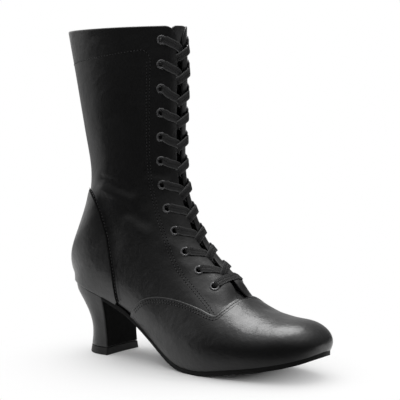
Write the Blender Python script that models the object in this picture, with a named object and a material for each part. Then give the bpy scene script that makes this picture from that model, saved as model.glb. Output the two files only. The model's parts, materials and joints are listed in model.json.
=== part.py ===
# Right-foot lace-up dance boot with a waisted heel, standing empty on its sole.
# Metres, +Z up, +X towards the toe, -Y towards the outer (lateral) side of the foot.
# All sizes below are in millimetres, measured in the last's own frame.
import math

import bmesh
import bpy
import numpy as np

MM = 0.001
GAP = 0.3               # clearance kept between neighbouring pieces
OVERLAY_GAP = 0.35      # clearance under an overlay, which follows the curved wall
WALL = 1.8              # leather and lining of the upper
OVERLAY = 1.1           # second layer of leather: vamp and counter
OVERLAY_MARGIN = 2.0    # the overlays stop this far above the feather edge

# Sections of the upper from the toe to the collar, fanned round the instep.
# Each section plane runs from a bottom or back point (xb, zb) to a top or front point (xf, zf).
# lat and med are the half widths at the widest level, slat and smed those at the feather edge.
# wide is the share of the section's height at the widest level.
# top and low are the powers of the rounding above and below that level.
COLUMNS = "xb zb xf zf lat med slat smed wide top low".split()
SECTIONS = [
    # name        xb     zb     xf     zf    lat   med  slat  smed  wide  top  low
    ("tip",     234.5,  23.2, 234.5,  23.2,  0.0,  0.0,  0.0,  0.0, 0.40, 2.2, 2.2),
    ("nose",    233.0,  22.8, 236.6,  28.3,  9.0,  9.0,  8.0,  8.0, 0.40, 2.2, 2.2),
    ("cap",     229.0,  20.9, 233.6,  33.8, 17.0, 17.0, 15.5, 15.5, 0.40, 2.2, 2.2),
    ("toe",     221.5,  18.5, 227.0,  39.0, 24.5, 24.0, 22.5, 22.5, 0.40, 2.2, 2.3),
    ("toebox",  209.5,  15.2, 215.5,  42.9, 31.0, 29.5, 28.0, 27.0, 0.40, 2.2, 2.4),
    ("vamp",    191.0,  11.2, 198.0,  43.8, 36.5, 35.0, 33.0, 32.0, 0.40, 2.1, 2.5),
    ("ball",    167.0,   7.2, 178.0,  48.3, 40.0, 38.5, 36.0, 35.0, 0.38, 2.1, 2.5),
    ("joint",   142.0,   3.5, 161.0,  57.0, 41.0, 39.0, 36.5, 35.0, 0.36, 2.1, 2.5),
    ("waist",   116.0,   6.5, 143.0,  70.0, 38.0, 36.5, 31.0, 29.0, 0.36, 2.1, 2.5),
    ("arch",     92.0,  21.5, 128.0,  83.0, 34.0, 33.0, 26.0, 24.0, 0.36, 2.1, 2.4),
    ("breast",   66.0,  39.5, 117.0,  96.0, 32.0, 31.5, 25.0, 24.0, 0.34, 2.1, 2.3),
    ("seat",     38.0,  50.5, 109.0, 111.5, 31.5, 31.0, 26.0, 26.0, 0.34, 2.1, 2.2),
    ("heel",     12.0,  58.0, 102.5, 128.0, 31.5, 31.0, 26.0, 26.0, 0.34, 2.1, 2.1),
    ("back",     -0.5,  60.5,  98.8, 143.0, 31.0, 31.0, 26.0, 26.0, 0.36, 2.1, 2.0),
    ("bulge",    -3.8,  74.0,  97.3, 158.0, 31.0, 31.0, 26.0, 26.0, 0.38, 2.1, 2.0),
    ("counter",   4.5,  95.0,  97.0, 172.0, 30.5, 30.5,  0.0,  0.0, 0.40, 2.1, 2.0),
    ("tendon",   14.3, 119.0,  97.0, 186.0, 30.3, 30.3,  0.0,  0.0, 0.42, 2.1, 2.0),
    ("ankle",    18.5, 146.0,  97.0, 200.0, 30.8, 30.8,  0.0,  0.0, 0.44, 2.1, 2.0),
    ("shin",     12.6, 180.0,  97.0, 217.0, 32.5, 32.5,  0.0,  0.0, 0.46, 2.1, 2.0),
    ("calf",      4.2, 217.0,  97.2, 239.0, 34.5, 34.5,  0.0,  0.0, 0.48, 2.1, 2.0),
    ("collar",   -6.0, 261.0,  97.5, 265.0, 36.5, 36.5,  0.0,  0.0, 0.50, 2.1, 2.0),
]
SEAT_ROUND = 26.0       # length of the rounded end of the heel seat
COLUMN = {name: index for index, name in enumerate(COLUMNS)}
ROW = {section[0]: index for index, section in enumerate(SECTIONS)}
TABLE = np.array([section[1:] for section in SECTIONS], float)
LAST = len(SECTIONS) - 1
BACK = ROW["back"]
SWELL = 3.7             # the tongue fills the front out this far along the lacing
SWELL_PLACES = (6.95, 7.6)      # section places over which that begins
SWELL_WIDTHS = (10.0, 27.0)     # distances from the middle over which it fades out
LATERAL, MEDIAL = -1, 1
PROBE = 0.2             # step across the skin over which its slope is taken
PROBE_PLACE = 0.02      # the same from section to section

# Throat and lacing, as distances along the skin from the centre line.
THROAT = 7.3            # section place where the facings part
THROAT_STEP = 0.30      # section places over which the slit opens to its full gap
FACING_LOW = 3.6        # half gap between the facings at the throat
FACING_HIGH = 3.8       # half gap between the facings at the collar
EYELET_LINE = 18.0      # from the centre line to the eyelets
EYELET_FIRST = 19.62    # section place of the top eyelet
EYELET_LAST = 7.80      # section place of the bottom eyelet
EYELET_PAIRS = 12
EYELET_HOLE = 2.0       # radius
EYELET_RIM = 3.7        # radius
EYELET_HIGH = 0.8
EYELET_ROLL = 0.25      # how far the rolled crown is set in, as a share of the ring's width
EYELET_SIDES = 8
LACE_WIDE = 6.0
LACE_THICK = 1.6
LACE_CLEAR = 0.55       # clearance under the lace
LACE_LIFT = 0.8         # the upper strand of a crossing lies this much higher
LACE_SLANT = 1.2        # a slanting strand stops this far from the eyelet's rim
LACE_TUCK = 0.2         # and this far short of the other facing's edge
LACE_STATIONS = 4

# Line that parts the panels on each side, as section place and distance along the skin.
# It is the vamp's wing edge from the throat to the arch, then the counter's front edge up to
# its blunt peak on the back seam, and then a plain line of the shaft.
PANEL_LINE = [
    # place  from centre
    (6.92, 24.8),
    (7.00, 34.2),
    (7.30, 37.5),
    (7.60, 39.6),
    (8.00, 42.0),
    (8.60, 47.2),
    (9.20, 55.5),
    (9.50, 62.8),
    (9.70, 71.0),
    (9.80, 81.5),
    (10.15, 88.5),
    (10.50, 94.0),
    (10.80, 88.5),
    (11.30, 82.8),
    (12.00, 79.2),
    (12.50, 79.2),
    (12.80, 79.7),
    (13.00, 80.2),
    (13.60, 82.5),
    (14.20, 85.0),
    (14.80, 88.7),
    (15.40, 94.0),
    (16.00, 102.0),
    (16.40, 113.0),
    (16.60, 123.5),
    (17.00, 117.0),
    (17.50, 107.0),
    (18.00, 98.0),
    (18.50, 93.0),
    (19.00, 90.0),
    (19.50, 87.0),
    (20.00, 85.0),
]
TOE_PLACES = [0.0, 0.35, 0.7, 1.0, 1.5, 2.0, 2.5, 3.0, 3.5, 4.0, 5.0, 6.0]
PLACES = TOE_PLACES + [row[0] for row in PANEL_LINE]
FRONT_STRIPS = 7        # from the centre line or facing edge to the panel line
FRONT_CROWD = 1.25      # power that crowds them towards the centre line
REAR_STRIPS = 5         # from the panel line towards the feather edge or back seam
VAMP_FRONT = 0.35       # section places between which the vamp covers the whole section
VAMP_THROAT = 6.92
VAMP_WING_END = 9.80    # section place where its wings end
COUNTER_FRONT = 10.50   # section places between which the counter lies
COUNTER_PEAK = 16.60

# Sole and heel.
SOLE_EDGE = 2.0         # the sole stands out this far beyond the feather edge
SOLE_FORE = 3.6         # thickness under the ball and toe
SOLE_WAIST = 2.4        # thickness at the heel breast
SOLE_ACROSS = 4
INSOLE = 1.5
INSOLE_INSET = 3.3      # from the feather edge inwards, clear of the wall
TOP_PIECE = 6.0
HEEL_FRONT = 42.0       # where the sole ends against the heel breast
HEEL = [
    # share of height, back x, breast x, half width
    (0.00, 15.0, 41.0, 19.8),
    (0.20, 16.7, 40.3, 19.7),
    (0.38, 16.4, 40.0, 20.5),
    (0.55, 13.4, 40.1, 21.7),
    (0.70,  8.7, 40.5, 22.9),
    (0.86,  3.4, 41.0, 24.4),
    (1.00,  0.3, 41.4, 25.5),
]
TOP_PIECE_FOOT = (13.7, 41.5, 20.6)     # back x, breast x, half width on the floor
TOP_PIECE_HEAD = (14.9, 41.0, 19.9)     # the same where it meets the heel
HEEL_SIDES = 16
HEEL_ROUND = 1.15       # length of the round back, as a share of the half width
HEEL_ROUND_MOST = 0.75  # and at most this share of the heel's depth

# Tongue.
TONGUE = 1.6
TONGUE_GAP = 0.8
TONGUE_LOW = 13.0       # half width at the throat
TONGUE_HIGH = 17.0      # half width at the collar
TONGUE_START = 7.35     # section place of its lower end
TONGUE_RISE = 1.5       # how far it stands above the collar
TONGUE_SHOULDER = 0.9   # height above the collar at which its corners turn in
TONGUE_TIP = 0.65       # width of its top edge, as a share of the width below
TONGUE_STRIPS = 4


def section_values(place):
    """Table values at a section place, smooth through the rows and mirrored past the toe."""
    mirrored = TABLE[1].copy()
    for name in ("lat", "med", "slat", "smed"):
        mirrored[COLUMN[name]] *= -1
    for top, bottom in (("xf", "xb"), ("zf", "zb")):
        mirrored[COLUMN[top]] = 2 * TABLE[1][COLUMN[bottom]] - TABLE[1][COLUMN[top]]
    beyond = 2 * TABLE[-1] - TABLE[-2]
    rows = np.vstack([mirrored, TABLE, beyond])
    place = min(max(place, 0.0), float(LAST))
    low = min(int(place), LAST - 1)
    t = place - low
    a, b, c, d = rows[low:low + 4]
    values = 0.5 * (2 * b + (c - a) * t + (2 * a - 5 * b + 4 * c - d) * t ** 2
                    + (3 * b - a - 3 * c + d) * t ** 3)
    return dict(zip(COLUMNS, values))


def feather(place, side):
    """Point of the feather edge: the lower edge of the upper, closed round the heel seat."""
    row = section_values(place)
    half = row["slat"] if side == LATERAL else row["smed"]
    if place >= BACK:
        half = 0.0
    else:
        from_back = (row["xb"] - TABLE[BACK, COLUMN["xb"]]) / SEAT_ROUND
        if from_back < 1:
            half *= math.sqrt(max(0.0, 1 - (1 - from_back) ** 2))
    return np.array([row["xb"], side * max(half, 0.0), row["zb"]])


def ramp(value, low, high):
    """Smooth step from 0 at low to 1 at high."""
    t = np.clip((value - low) / (high - low), 0.0, 1.0)
    return t * t * (3 - 2 * t)


def section_outline(place, side, steps=48):
    """Half a section, from the centre line on top to the feather edge or the back seam."""
    row = section_values(place)
    half = max(row["lat"] if side == LATERAL else row["med"], 1e-6)
    foot = min(abs(feather(place, side)[1]) / half, 0.999)
    wide, top, low = row["wide"], row["top"], row["low"]
    upper = np.linspace(0, math.pi / 2, steps)
    closed = (1 - foot ** low) ** (1 / low)
    lower = np.linspace(0, math.asin(closed ** (low / 2)), steps)[1:]
    share = np.concatenate([
        wide + (1 - wide) * np.abs(np.cos(upper)) ** (2 / top),
        wide - wide * np.abs(np.sin(lower)) ** (2 / low) / closed])
    width = half * np.concatenate([np.abs(np.sin(upper)) ** (2 / top),
                                   np.abs(np.cos(lower)) ** (2 / low)])
    reach = math.hypot(row["xf"] - row["xb"], row["zf"] - row["zb"])
    full = SWELL * ramp(place, *SWELL_PLACES) / max(reach, 1.0)
    share = share + full * np.where(share > wide, 1 - ramp(width, *SWELL_WIDTHS), 0.0)
    return np.stack([row["xb"] + (row["xf"] - row["xb"]) * share,
                     side * width,
                     row["zb"] + (row["zf"] - row["zb"]) * share], axis=1)


def outline_lengths(outline):
    return np.concatenate([[0.0], np.cumsum(np.linalg.norm(np.diff(outline, axis=0), axis=1))])


def girth(place, side):
    """Length of half a section along the skin."""
    return outline_lengths(section_outline(place, side))[-1]


def strip(place, side, distances):
    """Points of a section at the given distances along the skin from the centre line."""
    outline = section_outline(place, side)
    lengths = outline_lengths(outline)
    return np.stack([np.interp(distances, lengths, outline[:, axis]) for axis in range(3)], axis=1)


def skin(place, signed_distance):
    """Point of the skin; a negative distance lies on the lateral side."""
    side = LATERAL if signed_distance < 0 else MEDIAL
    return strip(place, side, [abs(signed_distance)])[0]


def skin_frame(place, signed_distance):
    """Point, outward normal and direction across the foot at a place on the skin."""
    point = skin(place, signed_distance)
    along = skin(place + PROBE_PLACE, signed_distance) - skin(place - PROBE_PLACE, signed_distance)
    across = skin(place, signed_distance + PROBE) - skin(place, signed_distance - PROBE)
    normal = np.cross(across, along)
    normal /= np.linalg.norm(normal)
    return point, normal, across / np.linalg.norm(across)


def facing_gap(place):
    """Half gap between the facings."""
    if place <= THROAT:
        return 0.0
    full = FACING_LOW + (FACING_HIGH - FACING_LOW) * (place - THROAT) / (LAST - THROAT)
    return full * min(1.0, (place - THROAT) / THROAT_STEP)


def seat_height(x):
    """Height of the feather line at a distance along the foot."""
    places = np.linspace(0, BACK, 131)
    rows = [section_values(place) for place in places]
    xs = np.array([row["xb"] for row in rows])[::-1]
    zs = np.array([row["zb"] for row in rows])[::-1]
    slope = (zs[-1] - zs[-6]) / (xs[-1] - xs[-6])
    return np.where(x > xs[-1], zs[-1] + slope * (x - xs[-1]), np.interp(x, xs, zs))


def weld(points, faces, labels=None):
    """Merge points that coincide and drop the faces that collapse."""
    seen, merged, index = {}, [], []
    for point in points:
        key = tuple(np.round(point, 3) + 0.0)
        if key not in seen:
            seen[key] = len(merged)
            merged.append(point)
        index.append(seen[key])
    kept, kept_labels = [], []
    for number, face in enumerate(faces):
        ring = []
        for corner in (index[c] for c in face):
            if corner not in ring:
                ring.append(corner)
        if len(ring) > 2:
            kept.append(ring)
            kept_labels.append(labels[number] if labels else "")
    if labels:
        return np.array(merged), kept, kept_labels
    return np.array(merged), kept


def lattice(rows):
    """Points and faces of a sheet given as rows of points; all rows have the same length."""
    count = len(rows[0])
    points = [point for row in rows for point in row]
    faces = []
    for i in range(len(rows) - 1):
        for j in range(count - 1):
            corner = i * count + j
            faces.append((corner, corner + 1, corner + count + 1, corner + count))
    return points, faces


def point_normals(points, faces):
    normals = np.zeros_like(points)
    for face in faces:
        area = np.cross(points[face[1]] - points[face[0]], points[face[2]] - points[face[0]])
        normals[face] += area
    return normals / np.linalg.norm(normals, axis=1)[:, None]


def open_edges(faces):
    edges = {(face[k], face[(k + 1) % len(face)]): True for face in faces for k in range(len(face))}
    return [(a, b) for a, b in edges if (b, a) not in edges]


def triangles(points, faces):
    """Split four-sided faces along their shorter diagonal."""
    split = []
    for face in faces:
        if len(face) == 3:
            split.append(list(face))
            continue
        a, b, c, d = face
        if np.linalg.norm(points[a] - points[c]) <= np.linalg.norm(points[b] - points[d]):
            split.extend([[a, b, c], [a, c, d]])
        else:
            split.extend([[a, b, d], [b, c, d]])
    return split


def thicken(points, faces, normals, outer, inner):
    """Closed solid between two offsets of a sheet, measured outwards along its normals."""
    used = sorted({corner for face in faces for corner in face})
    place = {corner: k for k, corner in enumerate(used)}
    faces = [[place[corner] for corner in face] for face in faces]
    base, lean = points[used], normals[used]
    count = len(used)
    under = [[c + count for c in reversed(face)] for face in faces]
    rim = [(b, a, a + count, b + count) for a, b in open_edges(faces)]
    return np.vstack([base + outer * lean, base + inner * lean]), faces + under + rim


def loft(loops):
    """Closed solid through loops of equal length that are mirrored about the centre plane."""
    count = len(loops[0])
    points = [point for loop in loops for point in loop]
    faces = []
    for i in range(len(loops) - 1):
        for j in range(count):
            k = (j + 1) % count
            faces.append((i * count + j, i * count + k, (i + 1) * count + k, (i + 1) * count + j))
    for base, order in ((0, -1), ((len(loops) - 1) * count, 1)):
        for j in range(count // 2 - 1):
            face = (base + j, base + j + 1, base + count - 2 - j, base + count - 1 - j)
            faces.append(face[::order])
    return weld(points, faces)


def signed_volume(points, faces):
    total = 0.0
    for face in faces:
        for k in range(1, len(face) - 1):
            total += np.dot(points[face[0]], np.cross(points[face[k]], points[face[k + 1]]))
    return total / 6


def make_material(name, colour, roughness, metallic=0.0):
    material = bpy.data.materials.new(name)
    material.use_nodes = True
    shader = material.node_tree.nodes["Principled BSDF"]
    shader.inputs["Base Color"].default_value = (*colour, 1.0)
    shader.inputs["Roughness"].default_value = roughness
    shader.inputs["Metallic"].default_value = metallic
    return material


def make_piece(name, points, faces, material):
    """One closed piece, faces outwards, still in the last's frame."""
    points = np.asarray(points, float)
    faces = [list(face) for face in faces]
    if signed_volume(points, faces) < 0:
        faces = [face[::-1] for face in faces]
    mesh = bpy.data.meshes.new(name)
    mesh.from_pydata((points * MM).tolist(), [], faces)
    mesh.materials.append(material)
    mesh.validate()
    piece = bpy.data.objects.new(name, mesh)
    bpy.context.collection.objects.link(piece)
    return piece


def panel_line(place, side):
    """Distance along the skin to the line that parts the panels."""
    if place >= PANEL_LINE[0][0]:
        return float(np.interp(place, *zip(*PANEL_LINE)))
    full = girth(PANEL_LINE[0][0], side) - OVERLAY_MARGIN
    return PANEL_LINE[0][1] * max(girth(place, side) - OVERLAY_MARGIN, 0.0) / full


def upper_sheet():
    """Sheet of the upper, with the faces that the vamp and the counter cover."""
    front = np.linspace(0, 1, FRONT_STRIPS + 1) ** FRONT_CROWD
    rear = np.linspace(0, 1, REAR_STRIPS + 1)[1:]
    points, faces, labels = [], [], []
    for side in (LATERAL, MEDIAL):
        rows = []
        for place in PLACES:
            end = girth(place, side)
            start, line = facing_gap(place), panel_line(place, side)
            edge = max(end - OVERLAY_MARGIN, 0.0)
            rows.append(strip(place, side, np.concatenate([
                start + (line - start) * front, line + (edge - line) * rear, [end]])))
        base, count = len(points), len(rows[0])
        side_points, side_faces = lattice(rows)
        points.extend(side_points)
        for number, face in enumerate(side_faces):
            row, column = divmod(number, count - 1)
            face = face if side == MEDIAL else face[::-1]
            faces.append([corner + base for corner in face])
            labels.append(panel_of(PLACES[row], PLACES[row + 1], column))
    points, faces, labels = weld(points, faces, labels)
    split, split_labels = [], []
    for face, label in zip(faces, labels):
        parts = triangles(points, [face])
        split.extend(parts)
        split_labels.extend([label] * len(parts))
    return points, split, split_labels


def panel_of(low, high, column):
    """Name of the second layer over a face between two section places."""
    is_rear = column >= FRONT_STRIPS
    is_margin = column == FRONT_STRIPS + REAR_STRIPS
    if low >= VAMP_FRONT and high <= VAMP_THROAT and not is_margin:
        return "vamp"
    if low >= VAMP_THROAT and high <= VAMP_WING_END and is_rear and not is_margin:
        return "vamp"
    if low >= COUNTER_FRONT and high <= COUNTER_PEAK and is_rear:
        if low >= BACK or not is_margin:
            return "counter"
    return ""


def tongue_sheet():
    """Tongue: under the facings from the throat to a little above the collar."""
    shares = np.linspace(-1, 1, TONGUE_STRIPS + 1)
    rows = []
    for place in [TONGUE_START] + [place for place in PLACES if place > TONGUE_START]:
        climb = (place - TONGUE_START) / (LAST - TONGUE_START)
        half = TONGUE_LOW + (TONGUE_HIGH - TONGUE_LOW) * climb
        rows.append(np.array([skin(place, share * half) for share in shares]))
    shoulder = (1 + TONGUE_TIP) / 2
    for rise, width in ((TONGUE_SHOULDER, shoulder), (TONGUE_RISE, TONGUE_TIP)):
        row = np.array([skin(LAST, share * TONGUE_HIGH * width) for share in shares])
        rows.append(row + np.array([0.0, 0.0, rise]))
    points, faces = weld(*lattice(rows))
    return points, triangles(points, faces)


def plan_edge(place, side, offset):
    """Feather edge moved outwards in plan by an offset."""
    step = PROBE_PLACE / 2
    if place < step:
        outward = np.array([1.0, 0.0, 0.0])
    elif place > BACK - step:
        outward = np.array([-1.0, 0.0, 0.0])
    else:
        along = feather(place + step, side) - feather(place - step, side)
        outward = side * np.array([along[1], -along[0], 0.0])
        outward /= np.linalg.norm(outward)
    return feather(place, side) + offset * outward


def sole_rows(places, offset):
    rows = []
    for place in places:
        lateral = plan_edge(place, LATERAL, offset)
        medial = plan_edge(place, MEDIAL, offset)
        rows.append(np.array([lateral + (medial - lateral) * k / SOLE_ACROSS
                              for k in range(SOLE_ACROSS + 1)]))
    return rows


def sole_solid(places, offset, top_of, bottom_of):
    """Flat-sided solid between two heights that depend on the distance along the foot."""
    rows = sole_rows(places, offset)
    points, faces = lattice(rows)
    points, faces = weld(points, faces)
    top, bottom = points.copy(), points.copy()
    top[:, 2] = top_of(points[:, 0])
    bottom[:, 2] = bottom_of(points[:, 0])
    count = len(points)
    rim = [(b, a, a + count, b + count) for a, b in open_edges(faces)]
    under = [[c + count for c in reversed(face)] for face in faces]
    return np.vstack([top, bottom]), list(faces) + under + rim


def place_at(x):
    """Section place whose feather point lies at a distance along the foot."""
    places = np.linspace(0, BACK, 1301)
    xs = np.array([section_values(place)["xb"] for place in places])
    return float(np.interp(-x, -xs, places))


def sole_thickness(x):
    share = np.clip((x - HEEL_FRONT) / (TABLE[ROW["waist"], COLUMN["xb"]] - HEEL_FRONT), 0, 1)
    return SOLE_WAIST + (SOLE_FORE - SOLE_WAIST) * share


def heel_loop(back, breast, half, height_of):
    """D-shaped loop: a flat breast, straight sides and a half-elliptic back."""
    length = min((breast - back) * HEEL_ROUND_MOST, half * HEEL_ROUND)
    angles = np.linspace(-math.pi / 2, math.pi / 2, HEEL_SIDES)
    xs = np.concatenate([[breast], back + length - length * np.cos(angles), [breast]])
    ys = np.concatenate([[-half], half * np.sin(angles), [half]])
    return np.stack([xs, ys, height_of(xs)], axis=1)


def heel_solid():
    base = TOP_PIECE + GAP
    loops = []
    for share, back, breast, half in HEEL:
        loops.append(heel_loop(back, breast, half,
                               lambda x, s=share: base + s * (seat_height(x) - GAP - base)))
    return loft(loops)


def top_piece_solid():
    foot = heel_loop(*TOP_PIECE_FOOT, lambda x: np.zeros_like(x))
    head = heel_loop(*TOP_PIECE_HEAD, lambda x: np.full_like(x, TOP_PIECE))
    return loft([foot, head])


def eyelet_places():
    """Section places of the eyelets, evenly spaced along the facing."""
    places = np.linspace(EYELET_FIRST, EYELET_LAST, 400)
    line = np.array([skin(place, -EYELET_LINE) for place in places])
    lengths = outline_lengths(line)
    return np.interp(np.linspace(0, lengths[-1], EYELET_PAIRS), lengths, places)


def eyelet_solid(place, side):
    """Rolled ring lying on the facing."""
    centre, normal, across = skin_frame(place, side * EYELET_LINE)
    along = np.cross(normal, across)
    low, high = OVERLAY_GAP, OVERLAY_GAP + EYELET_HIGH
    crown = EYELET_ROLL * (EYELET_RIM - EYELET_HOLE)
    profile = [(EYELET_HOLE, low), (EYELET_RIM, low),
               (EYELET_RIM - crown, high), (EYELET_HOLE + crown, high)]
    points, faces = [], []
    for k in range(EYELET_SIDES):
        angle = 2 * math.pi * k / EYELET_SIDES
        spoke = math.cos(angle) * across + math.sin(angle) * along
        points.extend([centre + radius * spoke + height * normal for radius, height in profile])
    for k in range(EYELET_SIDES):
        here, there = 4 * k, 4 * ((k + 1) % EYELET_SIDES)
        faces.extend([(here + j, here + (j + 1) % 4, there + (j + 1) % 4, there + j) for j in range(4)])
    return np.array(points), faces


def ribbon(route, lift_of):
    """Flat lace along a route of (section place, signed distance)."""
    frames = [skin_frame(place, distance) for place, distance in route]
    shares = np.linspace(0, 1, len(route))
    low = LACE_CLEAR + LACE_THICK / 2
    line = np.array([frame[0] + (low + lift_of(t)) * frame[1] for frame, t in zip(frames, shares)])
    tangents = np.gradient(line, axis=0)
    half, thick = LACE_WIDE / 2, LACE_THICK / 2
    outline = [(-half, -thick), (half, -thick), (half, thick), (-half, thick)]
    points, faces = [], []
    for middle, tangent, frame in zip(line, tangents, frames):
        tangent = tangent / np.linalg.norm(tangent)
        breadth = np.cross(frame[1], tangent)
        breadth /= np.linalg.norm(breadth)
        rise = np.cross(tangent, breadth)
        points.extend([middle + a * breadth + b * rise for a, b in outline])
    sides = len(outline)
    for i in range(len(route) - 1):
        for j in range(sides):
            k = (j + 1) % sides
            faces.append((i * sides + j, i * sides + k, (i + 1) * sides + k, (i + 1) * sides + j))
    faces.append(tuple(range(sides))[::-1])
    faces.append(tuple((len(route) - 1) * sides + j for j in range(sides)))
    return np.array(points), faces


def crossing_route(high, low, side):
    """A strand from the upper eyelet of one side to the facing edge of the other side."""
    start = EYELET_LINE - EYELET_RIM - LACE_SLANT
    stop = LACE_TUCK - facing_gap(low)
    route = []
    for distance in np.linspace(start, stop, LACE_STATIONS):
        share = (EYELET_LINE - distance) / (2 * EYELET_LINE)
        route.append((high + (low - high) * share, side * distance))
    return route


def fuse(first, second):
    """Union of two pieces as one closed piece; the second is used up."""
    cut = first.modifiers.new("joined", "BOOLEAN")
    cut.operation = "UNION"
    cut.solver = "EXACT"
    cut.object = second
    bpy.context.view_layer.update()
    mesh = bpy.data.meshes.new_from_object(first.evaluated_get(bpy.context.evaluated_depsgraph_get()))
    old, name = first.data, first.name
    first.modifiers.clear()
    first.data = mesh
    bpy.data.meshes.remove(old)
    mesh.name = name
    bpy.data.objects.remove(second)
    tidy = bmesh.new()
    tidy.from_mesh(mesh)
    bmesh.ops.remove_doubles(tidy, verts=tidy.verts, dist=0.00002)
    tidy.to_mesh(mesh)
    tidy.free()
    return first


def settle(pieces):
    """Move every piece so that the origin is the bottom centre of the whole boot."""
    corners = np.concatenate([[tuple(v.co) for v in piece.data.vertices] for piece in pieces])
    centre = (corners.min(axis=0) + corners.max(axis=0)) / 2
    shift = np.array([-centre[0], -centre[1], -corners[:, 2].min()])
    for piece in pieces:
        for vertex in piece.data.vertices:
            vertex.co = np.array(vertex.co) + shift
        piece.data.update()
    return shift


def main():
    for old in list(bpy.data.objects):
        bpy.data.objects.remove(old, do_unlink=True)

    leather = make_material("upper_leather", (0.012, 0.012, 0.013), 0.38)
    sole_leather = make_material("sole_leather", (0.010, 0.010, 0.010), 0.60)
    heel_cover = make_material("heel_leather", (0.014, 0.014, 0.015), 0.42)
    rubber = make_material("top_piece_rubber", (0.016, 0.016, 0.016), 0.70)
    lining = make_material("lining_textile", (0.030, 0.030, 0.032), 0.85)
    metal = make_material("eyelet_metal", (0.045, 0.045, 0.050), 0.35, 1.0)
    lace = make_material("lace_cotton", (0.018, 0.018, 0.019), 0.80)

    pieces = []

    points, faces, labels = upper_sheet()
    normals = point_normals(points, faces)
    pieces.append(make_piece("upper", *thicken(points, faces, normals, 0.0, -WALL), leather))
    for name in ("vamp", "counter"):
        panel = [face for face, label in zip(faces, labels) if label == name]
        pieces.append(make_piece(name, *thicken(
            points, panel, normals, OVERLAY_GAP + OVERLAY, OVERLAY_GAP), leather))
    points, faces = tongue_sheet()
    under = -WALL - TONGUE_GAP
    pieces.append(make_piece("tongue", *thicken(
        points, faces, point_normals(points, faces), under, under - TONGUE), leather))

    foot_places = [0.0, 0.15, 0.35, 0.7] + [k / 2 for k in range(2, 22)]
    sole_places = foot_places + [place_at(HEEL_FRONT)]
    pieces.append(make_piece("outsole", *sole_solid(
        sole_places, SOLE_EDGE,
        lambda x: seat_height(x) - GAP,
        lambda x: np.maximum(0.0, seat_height(x) - GAP - sole_thickness(x))), sole_leather))
    insole_places = foot_places + [11.0, 11.5, 12.0, 12.4, 12.7, 12.9, float(BACK)]
    pieces.append(make_piece("insole", *sole_solid(
        insole_places, -INSOLE_INSET,
        lambda x: seat_height(x) + INSOLE,
        lambda x: seat_height(x)), lining))
    pieces.append(make_piece("heel", *heel_solid(), heel_cover))
    pieces.append(make_piece("heel_top_piece", *top_piece_solid(), rubber))

    places = eyelet_places()
    for word, side in (("lateral", LATERAL), ("medial", MEDIAL)):
        for number, place in enumerate(places, 1):
            pieces.append(make_piece(f"eyelet_{word}_{number:02d}", *eyelet_solid(place, side), metal))

    for number in range(1, EYELET_PAIRS):
        high, low = places[number - 1], places[number]
        below = make_piece(f"lace_crossing_{number:02d}",
                           *ribbon(crossing_route(high, low, LATERAL), lambda t: 0.0), lace)
        above = make_piece("strand", *ribbon(crossing_route(high, low, MEDIAL),
                                             lambda t: LACE_LIFT * math.sin(math.pi * t)), lace)
        pieces.append(fuse(below, above))
    reach = EYELET_LINE - EYELET_RIM - GAP
    bar = [(places[-1], distance) for distance in np.linspace(-reach, reach, 2 * LACE_STATIONS)]
    pieces.append(make_piece("lace_bar", *ribbon(bar, lambda t: 0.0), lace))

    shift = settle(pieces)
    print("shift from the last's frame in mm:", np.round(shift / MM, 3))


main()
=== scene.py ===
# %% [markdown]
# A black lace-up dance boot, dressed for its picture. The frame holds the boot's solids at their real
# size. This lesson makes the leather, lace, metal and thread that go over them, one piece at a time, and
# then lights the boot as in a plain studio.

# %% Load the frame
import json
import math

import bmesh
import bpy
import numpy as np
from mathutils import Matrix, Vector

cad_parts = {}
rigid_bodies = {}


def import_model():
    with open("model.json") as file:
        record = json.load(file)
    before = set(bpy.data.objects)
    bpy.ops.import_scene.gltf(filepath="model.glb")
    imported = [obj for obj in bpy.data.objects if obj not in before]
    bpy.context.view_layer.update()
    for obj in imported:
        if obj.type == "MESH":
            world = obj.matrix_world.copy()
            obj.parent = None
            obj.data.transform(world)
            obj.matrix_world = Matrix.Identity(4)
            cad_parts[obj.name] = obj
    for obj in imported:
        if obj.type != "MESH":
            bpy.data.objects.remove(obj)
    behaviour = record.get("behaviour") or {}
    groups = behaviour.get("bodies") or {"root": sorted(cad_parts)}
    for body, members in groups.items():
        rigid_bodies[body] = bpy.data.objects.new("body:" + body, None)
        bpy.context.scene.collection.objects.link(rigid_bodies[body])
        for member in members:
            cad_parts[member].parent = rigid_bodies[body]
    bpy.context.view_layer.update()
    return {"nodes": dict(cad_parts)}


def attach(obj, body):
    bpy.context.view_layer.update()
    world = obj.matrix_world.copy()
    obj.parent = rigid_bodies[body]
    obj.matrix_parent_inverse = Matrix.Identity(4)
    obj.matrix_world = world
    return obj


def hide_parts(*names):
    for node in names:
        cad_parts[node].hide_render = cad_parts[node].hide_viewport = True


for leftover in list(bpy.data.objects):
    bpy.data.objects.remove(leftover, do_unlink=True)
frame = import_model()
print("frame loaded:", len(frame["nodes"]), "nodes")

# %% [markdown]
# The last is the wooden foot that a boot is built on. Its form is a short table of sections, fanned round
# the instep from the toe to the collar. Each section is half a rounded outline on each side of the centre
# line. A smooth curve runs through the rows, and a small moving average takes out the last changes of
# curvature, because polished leather shows every one of them in its reflections.

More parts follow.
